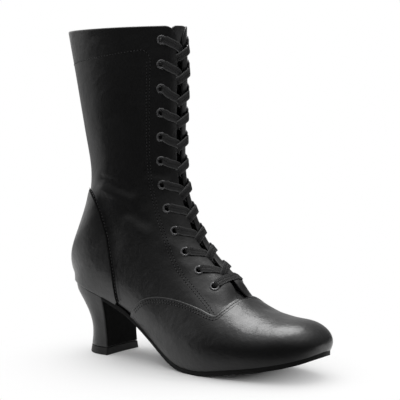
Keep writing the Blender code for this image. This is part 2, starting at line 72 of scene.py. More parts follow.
# %% Sections of the last, in millimetres
MM = 0.001
LAST_TO_FRAME = np.array([-116.019, 1.001, 0.0])
COLUMNS = "xb zb xf zf lat med slat smed wide top low".split()
SECTIONS = [
    # name        xb     zb     xf     zf    lat   med  slat  smed  wide  top  low
    ("tip",     232.6,  23.0, 232.6,  23.0,  0.0,  0.0,  0.0,  0.0, 0.40, 2.2, 2.2),
    ("nose",    231.3,  22.5, 233.8,  28.0,  9.0,  9.0,  8.0,  8.0, 0.40, 2.2, 2.2),
    ("cap",     227.8,  20.6, 231.8,  33.4, 17.0, 17.0, 15.5, 15.5, 0.40, 2.2, 2.2),
    ("toe",     220.9,  18.3, 226.0,  38.8, 24.5, 24.0, 22.5, 22.5, 0.40, 2.2, 2.3),
    ("toebox",  209.5,  15.2, 215.5,  42.9, 31.0, 29.5, 28.0, 27.0, 0.40, 2.2, 2.4),
    ("vamp",    191.0,  11.2, 198.0,  43.8, 36.5, 35.0, 33.0, 32.0, 0.40, 2.1, 2.5),
    ("ball",    167.0,   7.2, 178.0,  48.3, 40.0, 38.5, 36.0, 35.0, 0.38, 2.1, 2.5),
    ("joint",   142.0,   3.5, 161.0,  57.0, 41.0, 39.0, 36.5, 35.0, 0.36, 2.1, 2.5),
    ("waist",   116.0,   6.5, 143.0,  70.0, 38.0, 36.5, 31.0, 29.0, 0.36, 2.1, 2.5),
    ("arch",     92.0,  21.5, 128.0,  83.0, 34.0, 33.0, 26.0, 24.0, 0.36, 2.1, 2.4),
    ("breast",   66.0,  39.5, 117.0,  96.0, 32.0, 31.5, 25.0, 24.0, 0.34, 2.1, 2.3),
    ("seat",     38.0,  50.5, 109.0, 111.5, 31.5, 31.0, 26.0, 26.0, 0.34, 2.1, 2.2),
    ("heel",     12.0,  58.0, 102.5, 128.0, 31.5, 31.0, 26.0, 26.0, 0.34, 2.1, 2.1),
    ("back",      0.3,  60.5,  98.8, 143.0, 31.0, 31.0, 26.0, 26.0, 0.36, 2.1, 2.0),
    ("bulge",    -4.1,  74.0,  97.3, 158.0, 31.0, 31.0, 26.0, 26.0, 0.38, 2.1, 2.0),
    ("counter",   4.5,  95.0,  97.0, 172.0, 30.5, 30.5,  0.0,  0.0, 0.40, 2.1, 2.0),
    ("tendon",   14.3, 119.0,  97.0, 186.0, 30.3, 30.3,  0.0,  0.0, 0.42, 2.1, 2.0),
    ("ankle",    17.8, 146.0,  97.0, 200.0, 30.8, 30.8,  0.0,  0.0, 0.44, 2.1, 2.0),
    ("shin",     10.9, 180.0,  97.0, 217.0, 32.5, 32.5,  0.0,  0.0, 0.46, 2.1, 2.0),
    ("calf",      3.6, 217.0,  97.2, 239.0, 34.5, 34.5,  0.0,  0.0, 0.48, 2.1, 2.0),
    ("collar",   -6.0, 261.0,  97.5, 265.0, 36.5, 36.5,  0.0,  0.0, 0.50, 2.1, 2.0),
]
COLUMN = {name: index for index, name in enumerate(COLUMNS)}
ROW = {section[0]: index for index, section in enumerate(SECTIONS)}
TABLE = np.array([section[1:] for section in SECTIONS], float)
LAST = len(SECTIONS) - 1
BACK = ROW["back"]
LATERAL, MEDIAL = -1, 1
SEAT_ROUND = 26.0       # length of the rounded end of the heel seat
SMOOTHING = 0.5         # reach of the moving average, in section places
WINDOW = ((-1.0, 1 / 16), (-0.5, 4 / 16), (0.0, 6 / 16), (0.5, 4 / 16), (1.0, 1 / 16))


def padded_table():
    """The table with one row more at each end: mirrored past the toe, carried on past the collar."""
    mirrored = TABLE[1].copy()
    for name in ("lat", "med", "slat", "smed"):
        mirrored[COLUMN[name]] *= -1
    for top, bottom in (("xf", "xb"), ("zf", "zb")):
        mirrored[COLUMN[top]] = 2 * TABLE[1][COLUMN[bottom]] - TABLE[1][COLUMN[top]]
    return np.vstack([mirrored, TABLE, 2 * TABLE[-1] - TABLE[-2]])


PADDED = padded_table()


def between(a, b, c, d, t):
    """Point between b and c on a smooth curve through four neighbours."""
    return 0.5 * (2 * b + (c - a) * t + (2 * a - 5 * b + 4 * c - d) * t ** 2
                  + (3 * b - a - 3 * c + d) * t ** 3)


def row_at(place):
    """Row of the table at a section place, on a smooth curve through the rows."""
    low = min(int(place), LAST - 1)
    return between(*PADDED[low:low + 4], place - low)


def section_values(place):
    """Averaged row at a section place, by column name."""
    place = min(max(place, 0.0), float(LAST))
    reach = min(SMOOTHING, place, LAST - place)
    values = sum(weight * row_at(place + shift * reach) for shift, weight in WINDOW)
    return dict(zip(COLUMNS, values))


BACK_X = section_values(BACK)["xb"]
print("sections of the last:", len(SECTIONS))

# %% [markdown]
# Every place on the skin of the boot has two numbers: the section place, and the distance along the skin
# from the centre line, negative on the outer side. Seams, eyelets and lace are all laid out with these two
# numbers, as a maker draws on the last, so that everything sits on the same surface. Along the lacing the
# tongue fills the front out a little.

# %% Points on the skin
OUTLINE_STEPS = 160
PROBE = 0.3             # step across the skin over which its slope is taken
PROBE_PLACE = 0.02      # the same from section to section
SWELL = 3.7             # the tongue fills the front out this far along the lacing
SWELL_PLACES, SWELL_WIDTHS = (6.95, 7.6), (10.0, 27.0)
INNER_SWELL = 1.6       # and a little more under the inner facing, fading out towards the collar
INNER_WIDTHS, INNER_PLACES = (1.0, 9.0), (18.6, 19.8)


def ramp(value, low, high):
    """Smooth step from 0 at low to 1 at high."""
    t = np.clip((value - low) / (high - low), 0.0, 1.0)
    return t * t * (3 - 2 * t)


def unit(vectors):
    """Vectors scaled to length one."""
    return vectors / np.maximum(np.linalg.norm(vectors, axis=-1, keepdims=True), 1e-12)


def feather(place, side):
    """Point of the feather edge: the lower edge of the upper, closed round the heel seat."""
    row = section_values(place)
    half = row["slat"] if side == LATERAL else row["smed"]
    if place >= BACK:
        half = 0.0
    else:
        from_back = (row["xb"] - BACK_X) / SEAT_ROUND
        if from_back < 1:
            half *= math.sqrt(max(0.0, 1 - (1 - from_back) ** 2))
    return np.array([row["xb"], side * max(half, 0.0), row["zb"]])


def section_outline(place, side):
    """Half a section, from the centre line on top to the feather edge or the back seam."""
    row = section_values(place)
    half = max(row["lat"] if side == LATERAL else row["med"], 1e-6)
    foot = min(abs(feather(place, side)[1]) / half, 0.999)
    wide, top, low = row["wide"], row["top"], row["low"]
    upper = np.linspace(0, math.pi / 2, OUTLINE_STEPS)
    closed = (1 - foot ** low) ** (1 / low)
    lower = np.linspace(0, math.asin(closed ** (low / 2)), OUTLINE_STEPS)[1:]
    share = np.concatenate([
        wide + (1 - wide) * np.abs(np.cos(upper)) ** (2 / top),
        wide - wide * np.abs(np.sin(lower)) ** (2 / low) / closed])
    width = half * np.concatenate([np.abs(np.sin(upper)) ** (2 / top),
                                   np.abs(np.cos(lower)) ** (2 / low)])
    reach = max(math.hypot(row["xf"] - row["xb"], row["zf"] - row["zb"]), 1.0)
    inner = ramp(width, *INNER_WIDTHS) * (1 - ramp(place, *INNER_PLACES)) * (side == MEDIAL)
    full = (SWELL + INNER_SWELL * inner) * ramp(place, *SWELL_PLACES) / reach
    share = share + full * np.where(share > wide, 1 - ramp(width, *SWELL_WIDTHS), 0.0)
    return np.stack([row["xb"] + (row["xf"] - row["xb"]) * share,
                     side * width,
                     row["zb"] + (row["zf"] - row["zb"]) * share], axis=1)


def run_lengths(line):
    return np.concatenate([[0.0], np.cumsum(np.linalg.norm(np.diff(line, axis=0), axis=1))])


def girth(place, side):
    """Length of half a section along the skin."""
    return run_lengths(section_outline(place, side))[-1]


def strip(place, side, distances):
    """Points of a section at the given distances along the skin from the centre line."""
    outline = section_outline(place, side)
    lengths = run_lengths(outline)
    return np.stack([np.interp(distances, lengths, outline[:, axis]) for axis in range(3)], axis=1)


def bare_skin(place, signed_distance):
    side = LATERAL if signed_distance < 0 else MEDIAL
    return strip(place, side, [abs(signed_distance)])[0]


print("half girth at the collar:", round(girth(LAST, LATERAL), 1), "mm")

# %% [markdown]
# Leather that has been lasted and bent keeps a few soft folds. Each one here is given as a line on the
# boot from one point to another, with a half width and a depth. A negative depth is a ridge. The folds
# are moved into the skin itself, so the panels, the stitches and the lace all follow them.

# %% Creases, listed one by one
CREASES = [
    # from x, y, z           to x, y, z             half width, depth
    ((46.0, -30.4, 144.5), (71.0, -26.0, 136.0), 4.6, 0.90),
    ((46.0, -30.4, 138.0), (71.0, -26.0, 129.5), 4.6, -0.90),
    ((69.0, -27.0, 119.0), (85.0, -24.5, 111.0), 4.2, 0.75),
    ((69.0, -27.0, 113.0), (85.0, -24.5, 105.0), 4.2, -0.75),
    ((85.0, -20.0, 151.0), (96.0, -12.8, 148.5), 3.4, 0.35),
    ((85.0, -20.0, 146.0), (96.0, -12.8, 143.5), 3.4, -0.35),
    ((46.0, -31.0, 124.0), (58.0, -30.5, 95.0), 8.0, 0.70),
    ((103.0, -21.0, 97.0), (113.0, -17.5, 91.5), 5.0, -0.85),
    ((112.0, -20.5, 84.5), (121.0, -18.5, 79.0), 5.0, -0.70),
    ((154.0, -17.0, 56.0), (147.0, -20.0, 60.0), 5.5, -0.75),
    ((46.0, 30.4, 145.5), (71.0, 26.0, 137.0), 4.8, 0.55),
    ((46.0, 30.4, 139.0), (71.0, 26.0, 130.5), 4.8, -0.50),
    ((69.0, 27.0, 118.0), (84.0, 24.5, 110.0), 4.4, 0.45),
    ((22.0, -26.0, 190.0), (30.0, -30.0, 166.0), 8.0, 0.5),
    ((60.0, -31.5, 196.0), (64.0, -31.0, 168.0), 9.0, 0.5),
    ((185.0, -24.0, 38.5), (178.0, 4.0, 47.0), 6.0, 0.45),
    ((172.0, -30.0, 38.5), (165.0, -8.0, 53.0), 6.0, -0.4),
    ((184.0, 26.0, 36.5), (180.0, 8.0, 46.0), 6.0, 0.4),
]


def crease_height(points):
    """How far the folds move each point outwards."""
    height = np.zeros(len(points))
    for start, end, half_width, depth in CREASES:
        start, end = np.array(start), np.array(end)
        run = end - start
        share = np.clip((points - start) @ run / (run @ run), 0, 1)
        away = np.linalg.norm(points - start - share[:, None] * run, axis=1)
        height -= depth * np.exp(-(away / half_width) ** 2)
    return height


def skin_frame(place, signed_distance):
    """Point on the creased skin, outward normal and direction across the foot."""
    point = bare_skin(place, signed_distance)
    along = bare_skin(place + PROBE_PLACE, signed_distance) - bare_skin(place - PROBE_PLACE, signed_distance)
    across = bare_skin(place, signed_distance + PROBE) - bare_skin(place, signed_distance - PROBE)
    normal = unit(np.cross(across, along))
    return point + crease_height(point[None])[0] * normal, normal, unit(across)


print("creases:", len(CREASES))

# %% [markdown]
# The upper is cut in panels. The vamp covers the forefoot and runs back in a wing on each side, and the
# counter goes round the heel and peaks on the back seam. Both lie as a second layer on the quarters. Their
# edges are tables of section place and distance, joined by curves that never overshoot, because an edge
# that a knife cut has no waves in it.

# %% Edges of the panels and the facings
VAMP_EDGE = [
    # place  from centre
    (6.92, 24.8), (7.00, 34.2), (7.30, 37.5), (7.60, 39.6), (8.00, 42.0), (8.60, 47.2),
    (9.20, 55.5), (9.50, 62.8), (9.70, 71.0), (9.80, 81.5),
]
COUNTER_EDGE = [
    (10.38, 96.0), (10.68, 90.0), (11.20, 83.6), (12.00, 79.4), (12.50, 79.1), (13.00, 80.2),
    (13.60, 82.3), (14.20, 85.0), (14.80, 88.7), (15.40, 93.6), (15.90, 99.6), (16.25, 107.0),
    (16.50, 119.0), (16.60, 130.5),
]
SHAFT_LINE = [(16.60, 130.5), (17.50, 107.0), (18.50, 93.0), (20.00, 85.0)]
FACING_EDGE = [
    # place  half gap
    (6.78, 0.0), (6.84, 7.5), (6.90, 9.5), (7.02, 7.6), (7.18, 5.2),
    (7.40, 3.6), (7.80, 3.2), (8.60, 3.4), (10.0, 3.6), (20.0, 3.8),
]
VAMP_THROAT, VAMP_WING_END = VAMP_EDGE[0][0], VAMP_EDGE[-1][0]
COUNTER_FRONT, COUNTER_PEAK = COUNTER_EDGE[0][0], COUNTER_EDGE[-1][0]
FACING_CORNER = 13.0    # radius of the facing's top corner
FRONT_RISE = 26.0       # height of the last section place at the front


def hermite(t, start, end, leaving, arriving):
    """Curve from start to end with the given slopes."""
    return ((1 + 2 * t) * (1 - t) ** 2 * start + t * (1 - t) ** 2 * leaving
            + t ** 2 * (3 - 2 * t) * end - t ** 2 * (1 - t) * arriving)


def cut_edge(table, place):
    """Curve through a table without overshoot (harmonic slopes)."""
    xs, ys = np.array(table).T
    secants = np.diff(ys) / np.diff(xs)
    slopes = np.concatenate([[secants[0]], np.zeros(len(xs) - 2), [secants[-1]]])
    for k in range(1, len(xs) - 1):
        if secants[k - 1] * secants[k] > 0:
            slopes[k] = 2 * secants[k - 1] * secants[k] / (secants[k - 1] + secants[k])
    k = int(np.clip(np.searchsorted(xs, place) - 1, 0, len(xs) - 2))
    width = xs[k + 1] - xs[k]
    t = np.clip((place - xs[k]) / width, 0, 1)
    return float(hermite(t, ys[k], ys[k + 1], width * slopes[k], width * slopes[k + 1]))


def panel_line(place, side):
    """Distance along the skin to the line that parts the panels."""
    if place < VAMP_THROAT:
        return VAMP_EDGE[0][1] * girth(place, side) / girth(VAMP_THROAT, side)
    if place <= VAMP_WING_END:
        return cut_edge(VAMP_EDGE, place)
    if place < COUNTER_FRONT:
        ends = VAMP_EDGE[-1][1], COUNTER_EDGE[0][1]
        return float(np.interp(place, (VAMP_WING_END, COUNTER_FRONT), ends))
    if place <= COUNTER_PEAK:
        return cut_edge(COUNTER_EDGE, place)
    return cut_edge(SHAFT_LINE, place)


def facing_edge(place):
    """Distance from the centre line to the facing's edge, rounded off at its top corner."""
    if place <= FACING_EDGE[0][0]:
        return 0.0
    below = (LAST - place) * FRONT_RISE
    corner = 0.0
    if below < FACING_CORNER:
        corner = FACING_CORNER - math.sqrt(FACING_CORNER ** 2 - (FACING_CORNER - below) ** 2)
    return cut_edge(FACING_EDGE, place) + corner


print("facing edge at the collar:", round(facing_edge(LAST), 1), "mm from the centre line")

# %% [markdown]
# The skin is sampled as one grid, with rows on section places and columns that follow the panel line.
# Where a curve turns fast, such as the toe, the throat, the wing's end and the facing's corner, rows lie
# closer. The quarters and both overlays take their faces from this one grid, so layers that touch can
# never cross.

# %% Grid of the upper
ROWS_PER_PLACE = [8] + [7] * 5 + [9] * 7 + [13] * 7
FAST_PLACES = [
    0.04, 6.78, 6.80, 6.82, 6.84, 6.86, 6.88, 6.90, 6.92, 6.94, 6.96, 6.98, 7.02, 7.05,
    9.50, 9.60, 9.66, 9.70, 9.73, 9.76, 9.78, 9.80, 10.38, 12.92, 12.95, 12.97, 12.985, 12.995,
    16.45, 16.52, 16.57, 16.60, 19.75, 19.82, 19.87, 19.91, 19.94, 19.965, 19.985, 19.995,
]
CLOSEST_ROWS = 0.012
FRONT_COLUMNS, REAR_COLUMNS = 40, 30
SOFT_FROM, SOFT_TO, SOFT_REACH = 11.6, 14.4, 0.45   # rows averaged at the bottom of the back seam


def grid_places():
    even = [low + k / count for low, count in enumerate(ROWS_PER_PLACE) for k in range(count)]
    even.append(float(LAST))
    kept = [place for place in even if min(abs(place - fast) for fast in FAST_PLACES) > CLOSEST_ROWS]
    return sorted(kept + FAST_PLACES)


def eased(count):
    """Shares from 0 to 1 that lie a little closer at both ends."""
    t = np.linspace(0, 1, count + 1)
    return 0.5 * t + 0.25 * (1 - np.cos(math.pi * t))


def panel_of(low, high, is_rear):
    """Name of the second layer over a face between two section places."""
    if high <= VAMP_THROAT or (high <= VAMP_WING_END and is_rear):
        return "vamp"
    if low >= COUNTER_FRONT and high <= COUNTER_PEAK and is_rear:
        return "counter"
    return ""


def quads(rows, columns, closed=False):
    """Faces of a grid of points, closed round into its first column if asked."""
    steps = [(j, (j + 1) % columns) for j in range(columns if closed else columns - 1)]
    return [[i * columns + j, i * columns + k, (i + 1) * columns + k, (i + 1) * columns + j]
            for i in range(rows - 1) for j, k in steps]


print("rows of the grid:", len(grid_places()))

# %% Build the grid
def weld(points, faces):
    """Merge points that coincide; returns the kept points' numbers and the faces without doubled corners."""
    rounded = np.round(points, 3) + 0.0
    _, first, index = np.unique(rounded, axis=0, return_index=True, return_inverse=True)
    index = index.reshape(-1)
    rings = [list(dict.fromkeys(int(index[corner]) for corner in face)) for face in faces]
    return first, rings


def point_normals(points, faces):
    corners = np.array([face if len(face) == 4 else [*face, face[2]] for face in faces])
    a, b, c, d = (points[corners[:, k]] for k in range(4))
    areas = np.cross(c - a, d - b)
    areas[np.all(c == d, axis=1)] = np.cross(b - a, c - a)[np.all(c == d, axis=1)]
    normals = np.zeros_like(points)
    for k in range(4):
        np.add.at(normals, corners[:, k], areas)
    return unit(normals)


def soften_heel(rows, places, weight):
    """Average neighbouring rows where the heel seat closes, so that no ridge is left above its corner."""
    rows, places = np.array(rows), np.array(places)
    soft = rows.copy()
    for k, place in enumerate(places):
        zone = 4 * (place - SOFT_FROM) * (SOFT_TO - place) / (SOFT_TO - SOFT_FROM) ** 2
        if zone > 0:
            shares = np.gradient(places) * np.exp(-((places - place) / (SOFT_REACH * zone)) ** 2)
            soft[k] += weight[:, None] * (np.tensordot(shares / shares.sum(), rows, 1) - rows[k])
    return soft


def boot_sheet():
    """Points, normals and faces of the skin, each face's panel, each point's place and feather flag."""
    places = grid_places()
    front, rear = eased(FRONT_COLUMNS), eased(REAR_COLUMNS)[1:]
    weight = np.concatenate([0 * front, np.minimum(1, 3 * rear) * np.minimum(1, 4 * (1 - rear))])
    count = len(front) + len(rear)
    points, at_place, at_feather, faces, panels = [], [], [], [], []
    for side in (LATERAL, MEDIAL):
        base, rows = len(points), []
        for place in places:
            start, end = facing_edge(place), girth(place, side)
            line = min(panel_line(place, side), end)
            rows.append(strip(place, side, np.concatenate([
                start + (line - start) * front, line + (end - line) * rear])))
            at_place.extend([place] * count)
            at_feather.extend([False] * (count - 1) + [place <= BACK])
        points.extend(soften_heel(rows, places, weight).reshape(-1, 3))
        for face in quads(len(places), count):
            row, column = divmod(face[0], count)
            faces.append([base + corner for corner in face[::side]])
            panels.append(panel_of(places[row], places[row + 1], column >= FRONT_COLUMNS))
    points = np.array(points)
    first, rings = weld(points, faces)
    kept = [(ring, panel) for ring, panel in zip(rings, panels) if len(ring) > 2]
    points, faces = points[first], [ring for ring, _ in kept]
    points = points + crease_height(points)[:, None] * point_normals(points, faces)
    return {"points": points, "faces": faces, "panels": [panel for _, panel in kept],
            "normals": point_normals(points, faces), "place": np.array(at_place)[first],
            "feather": np.array(at_feather)[first]}


SHEET = boot_sheet()
print("skin:", len(SHEET["points"]), "points,", len(SHEET["faces"]), "faces")

# %% [markdown]
# A sheet becomes leather when it gets two faces and a rounded rim between them. The rim is half a circle
# that turns round the open edge. Blender's Solidify would leave that edge square, and an edge that catches
# the light is what shows that leather has a thickness. At the feather edge the rim stays flat, because the
# sole hides it.

# %% Turn a sheet into a panel with a rolled edge
RIM_STEPS = 5


def open_edges(faces):
    edges = {(face[k], face[(k + 1) % len(face)]) for face in faces for k in range(len(face))}
    return [(a, b) for a, b in edges if (b, a) not in edges]


def rim_directions(points, normals, edges):
    """For each point on an open edge, the direction in the sheet that leads out of it."""
    outward = {}
    for a, b in sorted(edges):
        run = points[b] - points[a]
        for corner in (a, b):
            way = np.cross(run, normals[corner])
            outward[corner] = outward.get(corner, np.zeros(3)) + way
    return {corner: unit(way) for corner, way in outward.items()}


def panel_solid(sheet, faces, outer, inner):
    """Closed panel between two offsets of the sheet: points, faces (outer, inner, rim) and edge values."""
    used = sorted({corner for face in faces for corner in face})
    number = {corner: k for k, corner in enumerate(used)}
    faces = [[number[corner] for corner in face] for face in faces]
    base, lean, flat = sheet["points"][used], sheet["normals"][used], sheet["feather"][used]
    count, outer = len(used), (np.zeros(len(sheet["points"])) + outer)[used]
    middle, half = (outer + inner) / 2, (outer - inner) / 2
    points = [*(base + outer[:, None] * lean), *(base + inner * lean)]
    edges = open_edges(faces)
    rings = {}
    for corner, way in sorted(rim_directions(base, lean, edges).items()):
        ring = [corner]
        for k in range(1, RIM_STEPS):
            angle = math.pi * k / RIM_STEPS
            swell = 0.0 if flat[corner] else half[corner] * math.sin(angle)
            height = middle[corner] + half[corner] * math.cos(angle)
            ring.append(len(points))
            points.append(base[corner] + height * lean[corner] + swell * way)
        rings[corner] = ring + [corner + count]
    under = [[corner + count for corner in reversed(face)] for face in faces]
    rim = [(rings[b][k], rings[a][k], rings[a][k + 1], rings[b][k + 1])
           for a, b in sorted(edges) for k in range(RIM_STEPS)]
    edge_value = np.zeros(len(points))
    edge_value[2 * count:] = 1.0
    return np.array(points), faces + under + rim, edge_value


def plain_sheet(points, faces):
    """A sheet with a rolled edge all round."""
    flat = np.zeros(len(points), bool)
    return {"points": points, "normals": point_normals(points, faces), "feather": flat}


print("rim of", RIM_STEPS, "steps")

# %% Make, paint and finish pieces
def add_object(name, data):
    added = bpy.data.objects.new(name, data)
    bpy.context.scene.collection.objects.link(added)
    return added


def frame_mesh(name, points, edges, faces):
    """Mesh from points in the last's frame."""
    mesh = bpy.data.meshes.new(name)
    corners = ((np.asarray(points) + LAST_TO_FRAME) * MM).tolist()
    mesh.from_pydata(corners, edges, [list(face) for face in faces])
    return mesh


def make_piece(name, material, points, faces, edge_value=None):
    """Plain smooth object; the edge value of a point tells its finish where an edge is."""
    mesh = frame_mesh(name, points, [], faces)
    mesh.materials.append(material)
    if edge_value is not None:
        mesh.attributes.new("edge", "FLOAT", "POINT").data.foreach_set("value", edge_value)
    mesh.shade_smooth()
    return add_object(name, mesh)


def second_finish(piece, material, numbers):
    """Give some faces of a piece another material."""
    piece.data.materials.append(material)
    for number in numbers:
        piece.data.polygons[number].material_index = 1


def finish_piece(piece, nodes=()):
    """Every finished piece rides on the boot and may stand for CAD nodes."""
    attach(piece, "root")
    if nodes:
        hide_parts(*nodes)
    print(piece.name, "faces:", len(piece.data.polygons))
    return piece


def baked(piece):
    """Turn an object with modifiers into a plain mesh."""
    bpy.context.view_layer.update()
    mesh = bpy.data.meshes.new_from_object(piece.evaluated_get(bpy.context.evaluated_depsgraph_get()))
    piece.modifiers.clear()
    piece.data = mesh
    return piece


print("helpers for pieces ready")

# %% [markdown]
# Finishes come next, because each piece needs one. Two effects are shared by several of them, so each is a
# node group: the grain of leather, and a woven cloth. A group only puts out heights and masks. The
# Principled shader, with its fixed numbers on its own sockets, stays in each material.

# %% Helpers for node trees
def new_group(name, inputs, outputs, kind="ShaderNodeTree"):
    tree = bpy.data.node_groups.new(name, kind)
    for way, sockets in (("INPUT", inputs), ("OUTPUT", outputs)):
        for label, socket_type in sockets:
            tree.interface.new_socket(label, in_out=way, socket_type=socket_type)
    return tree, tree.nodes.new("NodeGroupInput").outputs, tree.nodes.new("NodeGroupOutput")


def fill(tree, node, **values):
    """Set or link inputs of a node by name, with spaces as underscores, or by number, as in i0."""
    for key, value in values.items():
        numbered = key[0] == "i" and key[1:].isdigit()
        socket = node.inputs[int(key[1:]) if numbered else key.replace("_", " ")]
        if isinstance(value, bpy.types.NodeSocket):
            tree.links.new(value, socket)
        else:
            socket.default_value = value


def add_node(tree, kind, settings=None, **values):
    """Add a node, set its properties and fill its inputs."""
    node = tree.nodes.new(kind)
    for key, value in (settings or {}).items():
        setattr(node, key, value)
    fill(tree, node, **values)
    return node


def math_node(tree, operation, first, second=0.0):
    return add_node(tree, "ShaderNodeMath", {"operation": operation}, i0=first, i1=second).outputs[0]


def noise(tree, vector, scale, detail, roughness=0.5):
    return add_node(tree, "ShaderNodeTexNoise", None, Vector=vector, Scale=scale, Detail=detail,
                    Roughness=roughness).outputs["Fac"]


def spread(tree, value, low, high, start=0.0, stop=1.0):
    """Map a value between start and stop to a range."""
    return add_node(tree, "ShaderNodeMapRange", None, Value=value, From_Min=start, From_Max=stop,
                    To_Min=low, To_Max=high).outputs["Result"]


print("node helpers ready")

# %% Shared effects
PEBBLES_PER_MOTTLE, PATCHES_PER_MOTTLE = 2.2, 5.0
FUZZ_SIZE = 2.3
FLOAT, VECTOR = "NodeSocketFloat", "NodeSocketVector"


def leather_grain():
    """Fine grain, slow mottling and patches of gloss, from object coordinates."""
    tree, given, result = new_group(
        "leather_grain", [("Vector", VECTOR), ("Grain", FLOAT), ("Mottle", FLOAT)],
        [("Height", FLOAT), ("Pebble", FLOAT), ("Mottling", FLOAT), ("Gloss", FLOAT)])
    vector, grain, mottle = given["Vector"], given["Grain"], given["Mottle"]
    cells = add_node(tree, "ShaderNodeTexVoronoi", {"feature": "SMOOTH_F1"}, Vector=vector, Scale=grain)
    pores = noise(tree, vector, grain, 3.0)
    pebbles = math_node(tree, "MULTIPLY", mottle, PEBBLES_PER_MOTTLE)
    patches = math_node(tree, "MULTIPLY", mottle, PATCHES_PER_MOTTLE)
    fill(tree, result, Height=math_node(tree, "ADD", cells.outputs["Distance"], pores),
         Pebble=noise(tree, vector, pebbles, 3.0, 0.62), Mottling=noise(tree, vector, mottle, 3.0, 0.55),
         Gloss=noise(tree, vector, patches, 4.0))
    return tree


def woven_cloth():
    """Plain weave: warp and weft take turns on top; one unit of the vector is one yarn."""
    tree, given, result = new_group(
        "woven_cloth", [("Vector", VECTOR)], [("Height", FLOAT), ("Yarn", FLOAT)])
    vector = given["Vector"]
    parts = add_node(tree, "ShaderNodeSeparateXYZ", None, Vector=vector)
    ridges = []
    for axis in ("X", "Y"):
        turn = math_node(tree, "MULTIPLY", parts.outputs[axis], math.pi)
        ridges.append(math_node(tree, "ABSOLUTE", math_node(tree, "SINE", turn)))
    on_top = add_node(tree, "ShaderNodeTexChecker", None, Vector=vector, Scale=1.0).outputs["Fac"]
    lifted = math_node(tree, "MULTIPLY", ridges[0], on_top)
    crossing = math_node(tree, "MULTIPLY", ridges[1], math_node(tree, "SUBTRACT", 1.0, on_top))
    height = math_node(tree, "ADD", lifted, crossing)
    fuzz = noise(tree, vector, FUZZ_SIZE, 3.0)
    fill(tree, result, Height=height, Yarn=math_node(tree, "MULTIPLY", height, fuzz))
    return tree


GRAIN, WEAVE = leather_grain(), woven_cloth()
print("shared finishes:", GRAIN.name, WEAVE.name)

# %% [markdown]
# The boot is black box calf with a satin polish: a very dark base, a soft broad reflection, and a thin wax
# coat. The grain is under a millimetre, so it hardly shows as bumps, but it keeps the reflection from
# looking like plastic. Where edges are rolled the dye is a little worn, so the base there is slightly
# lighter.

# %% Leather finishes
MOTTLE_TONE, WAX_ROUGH = 0.6, 0.28
BUMPS = (("Mottling", 0.6), ("Pebble", 0.5), ("Height", 0.6))    # heights from coarse to fine, and strengths


def blank_material(name):
    material = bpy.data.materials.new(name)
    material.use_nodes = True
    tree = material.node_tree
    return material, tree, tree.nodes["Principled BSDF"], tree.nodes.new("ShaderNodeTexCoord").outputs


def grey(value, blue=0.0):
    return value, value, value + blue


def two_tone(tree, mask, dark, light):
    return add_node(tree, "ShaderNodeMix", {"data_type": "RGBA"}, Factor=mask,
                    i6=(*dark, 1.0), i7=(*light, 1.0)).outputs[2]


# Rolled edges: real wear on the leather, a painted highlight along the lace's edges.
def wear_and_sheen_mask(tree):
    return add_node(tree, "ShaderNodeAttribute", {"attribute_name": "edge"}).outputs["Fac"]


def leather(name, dark, light, rough, coat, shine=0.5, grain=1500.0, mottle=55.0, grain_depth=0.00006,
            soft_depth=0.0008):
    material, tree, shader, where = blank_material(name)
    skin = add_node(tree, "ShaderNodeGroup", {"node_tree": GRAIN}, Vector=where["Object"], Grain=grain,
                    Mottle=mottle).outputs
    worn = math_node(tree, "MULTIPLY", wear_and_sheen_mask(tree), skin["Gloss"])
    tone = math_node(tree, "ADD", math_node(tree, "MULTIPLY", skin["Mottling"], MOTTLE_TONE), worn)
    bumped = {}
    for height, strength in BUMPS:
        depth = grain_depth if height == "Height" else soft_depth
        bump = add_node(tree, "ShaderNodeBump", None, Height=skin[height], Distance=depth, Strength=strength,
                        **bumped)
        bumped = {"Normal": bump.outputs["Normal"]}
    fill(tree, shader, Base_Color=two_tone(tree, tone, dark, light), Specular_IOR_Level=shine,
         Roughness=spread(tree, skin["Gloss"], *rough), Coat_Weight=coat, Coat_Roughness=WAX_ROUGH, **bumped)
    return material


CALF = leather("black_calf", grey(0.0015, 0.0002), grey(0.0045, 0.0003), (0.23, 0.41), 0.12)
HEEL_CALF = leather("heel_cover_calf", grey(0.0025, 0.0002), grey(0.007, 0.0003), (0.31, 0.45), 0.08)
SOLE_LEATHER = leather("dyed_sole_leather", grey(0.002), grey(0.006), (0.50, 0.72), 0.0, 0.15,
                       grain=900.0, grain_depth=0.00008)
DULL_LEATHER = leather("dull_dyed_leather", grey(0.002), grey(0.005), (0.70, 0.85), 0.0, 0.08,
                       grain=1100.0, grain_depth=0.0001)
RUBBER = leather("top_piece_rubber_finish", grey(0.004), grey(0.010), (0.50, 0.68), 0.0, 0.35,
                 grain=700.0, grain_depth=0.00005, soft_depth=0.0001)
print("leathers ready")

# %% [markdown]
# Cloth, thread and metal. The lining and the lace share the weave, at different sizes. The lace reads its
# own UV map, whose unit is one yarn, so the weave runs with the strand round every bend, and its edges carry
# a painted highlight. The eyelets are metal under black enamel, which wears through in specks.

# %% Cloth, thread and metal finishes
YARN_TONE = 0.36        # how much the weave shows in the colour


def cloth(name, dark, light, coordinates, yarns, depth, rough, shine):
    material, tree, shader, where = blank_material(name)
    scaled = add_node(tree, "ShaderNodeMapping", None, Vector=where[coordinates],
                      Scale=(yarns, yarns, yarns))
    weave = add_node(tree, "ShaderNodeGroup", {"node_tree": WEAVE}, Vector=scaled.outputs[0]).outputs
    # The edge mask lightens the colour: on the lace this is a painted highlight along the tape's edges.
    tone = math_node(tree, "ADD", math_node(tree, "MULTIPLY", weave["Yarn"], YARN_TONE), wear_and_sheen_mask(tree))
    bump = add_node(tree, "ShaderNodeBump", None, Height=weave["Height"], Distance=depth, Strength=0.8)
    fill(tree, shader, Base_Color=two_tone(tree, tone, dark, light), Normal=bump.outputs["Normal"],
         Roughness=spread(tree, weave["Yarn"], *rough), Specular_IOR_Level=shine)
    return material


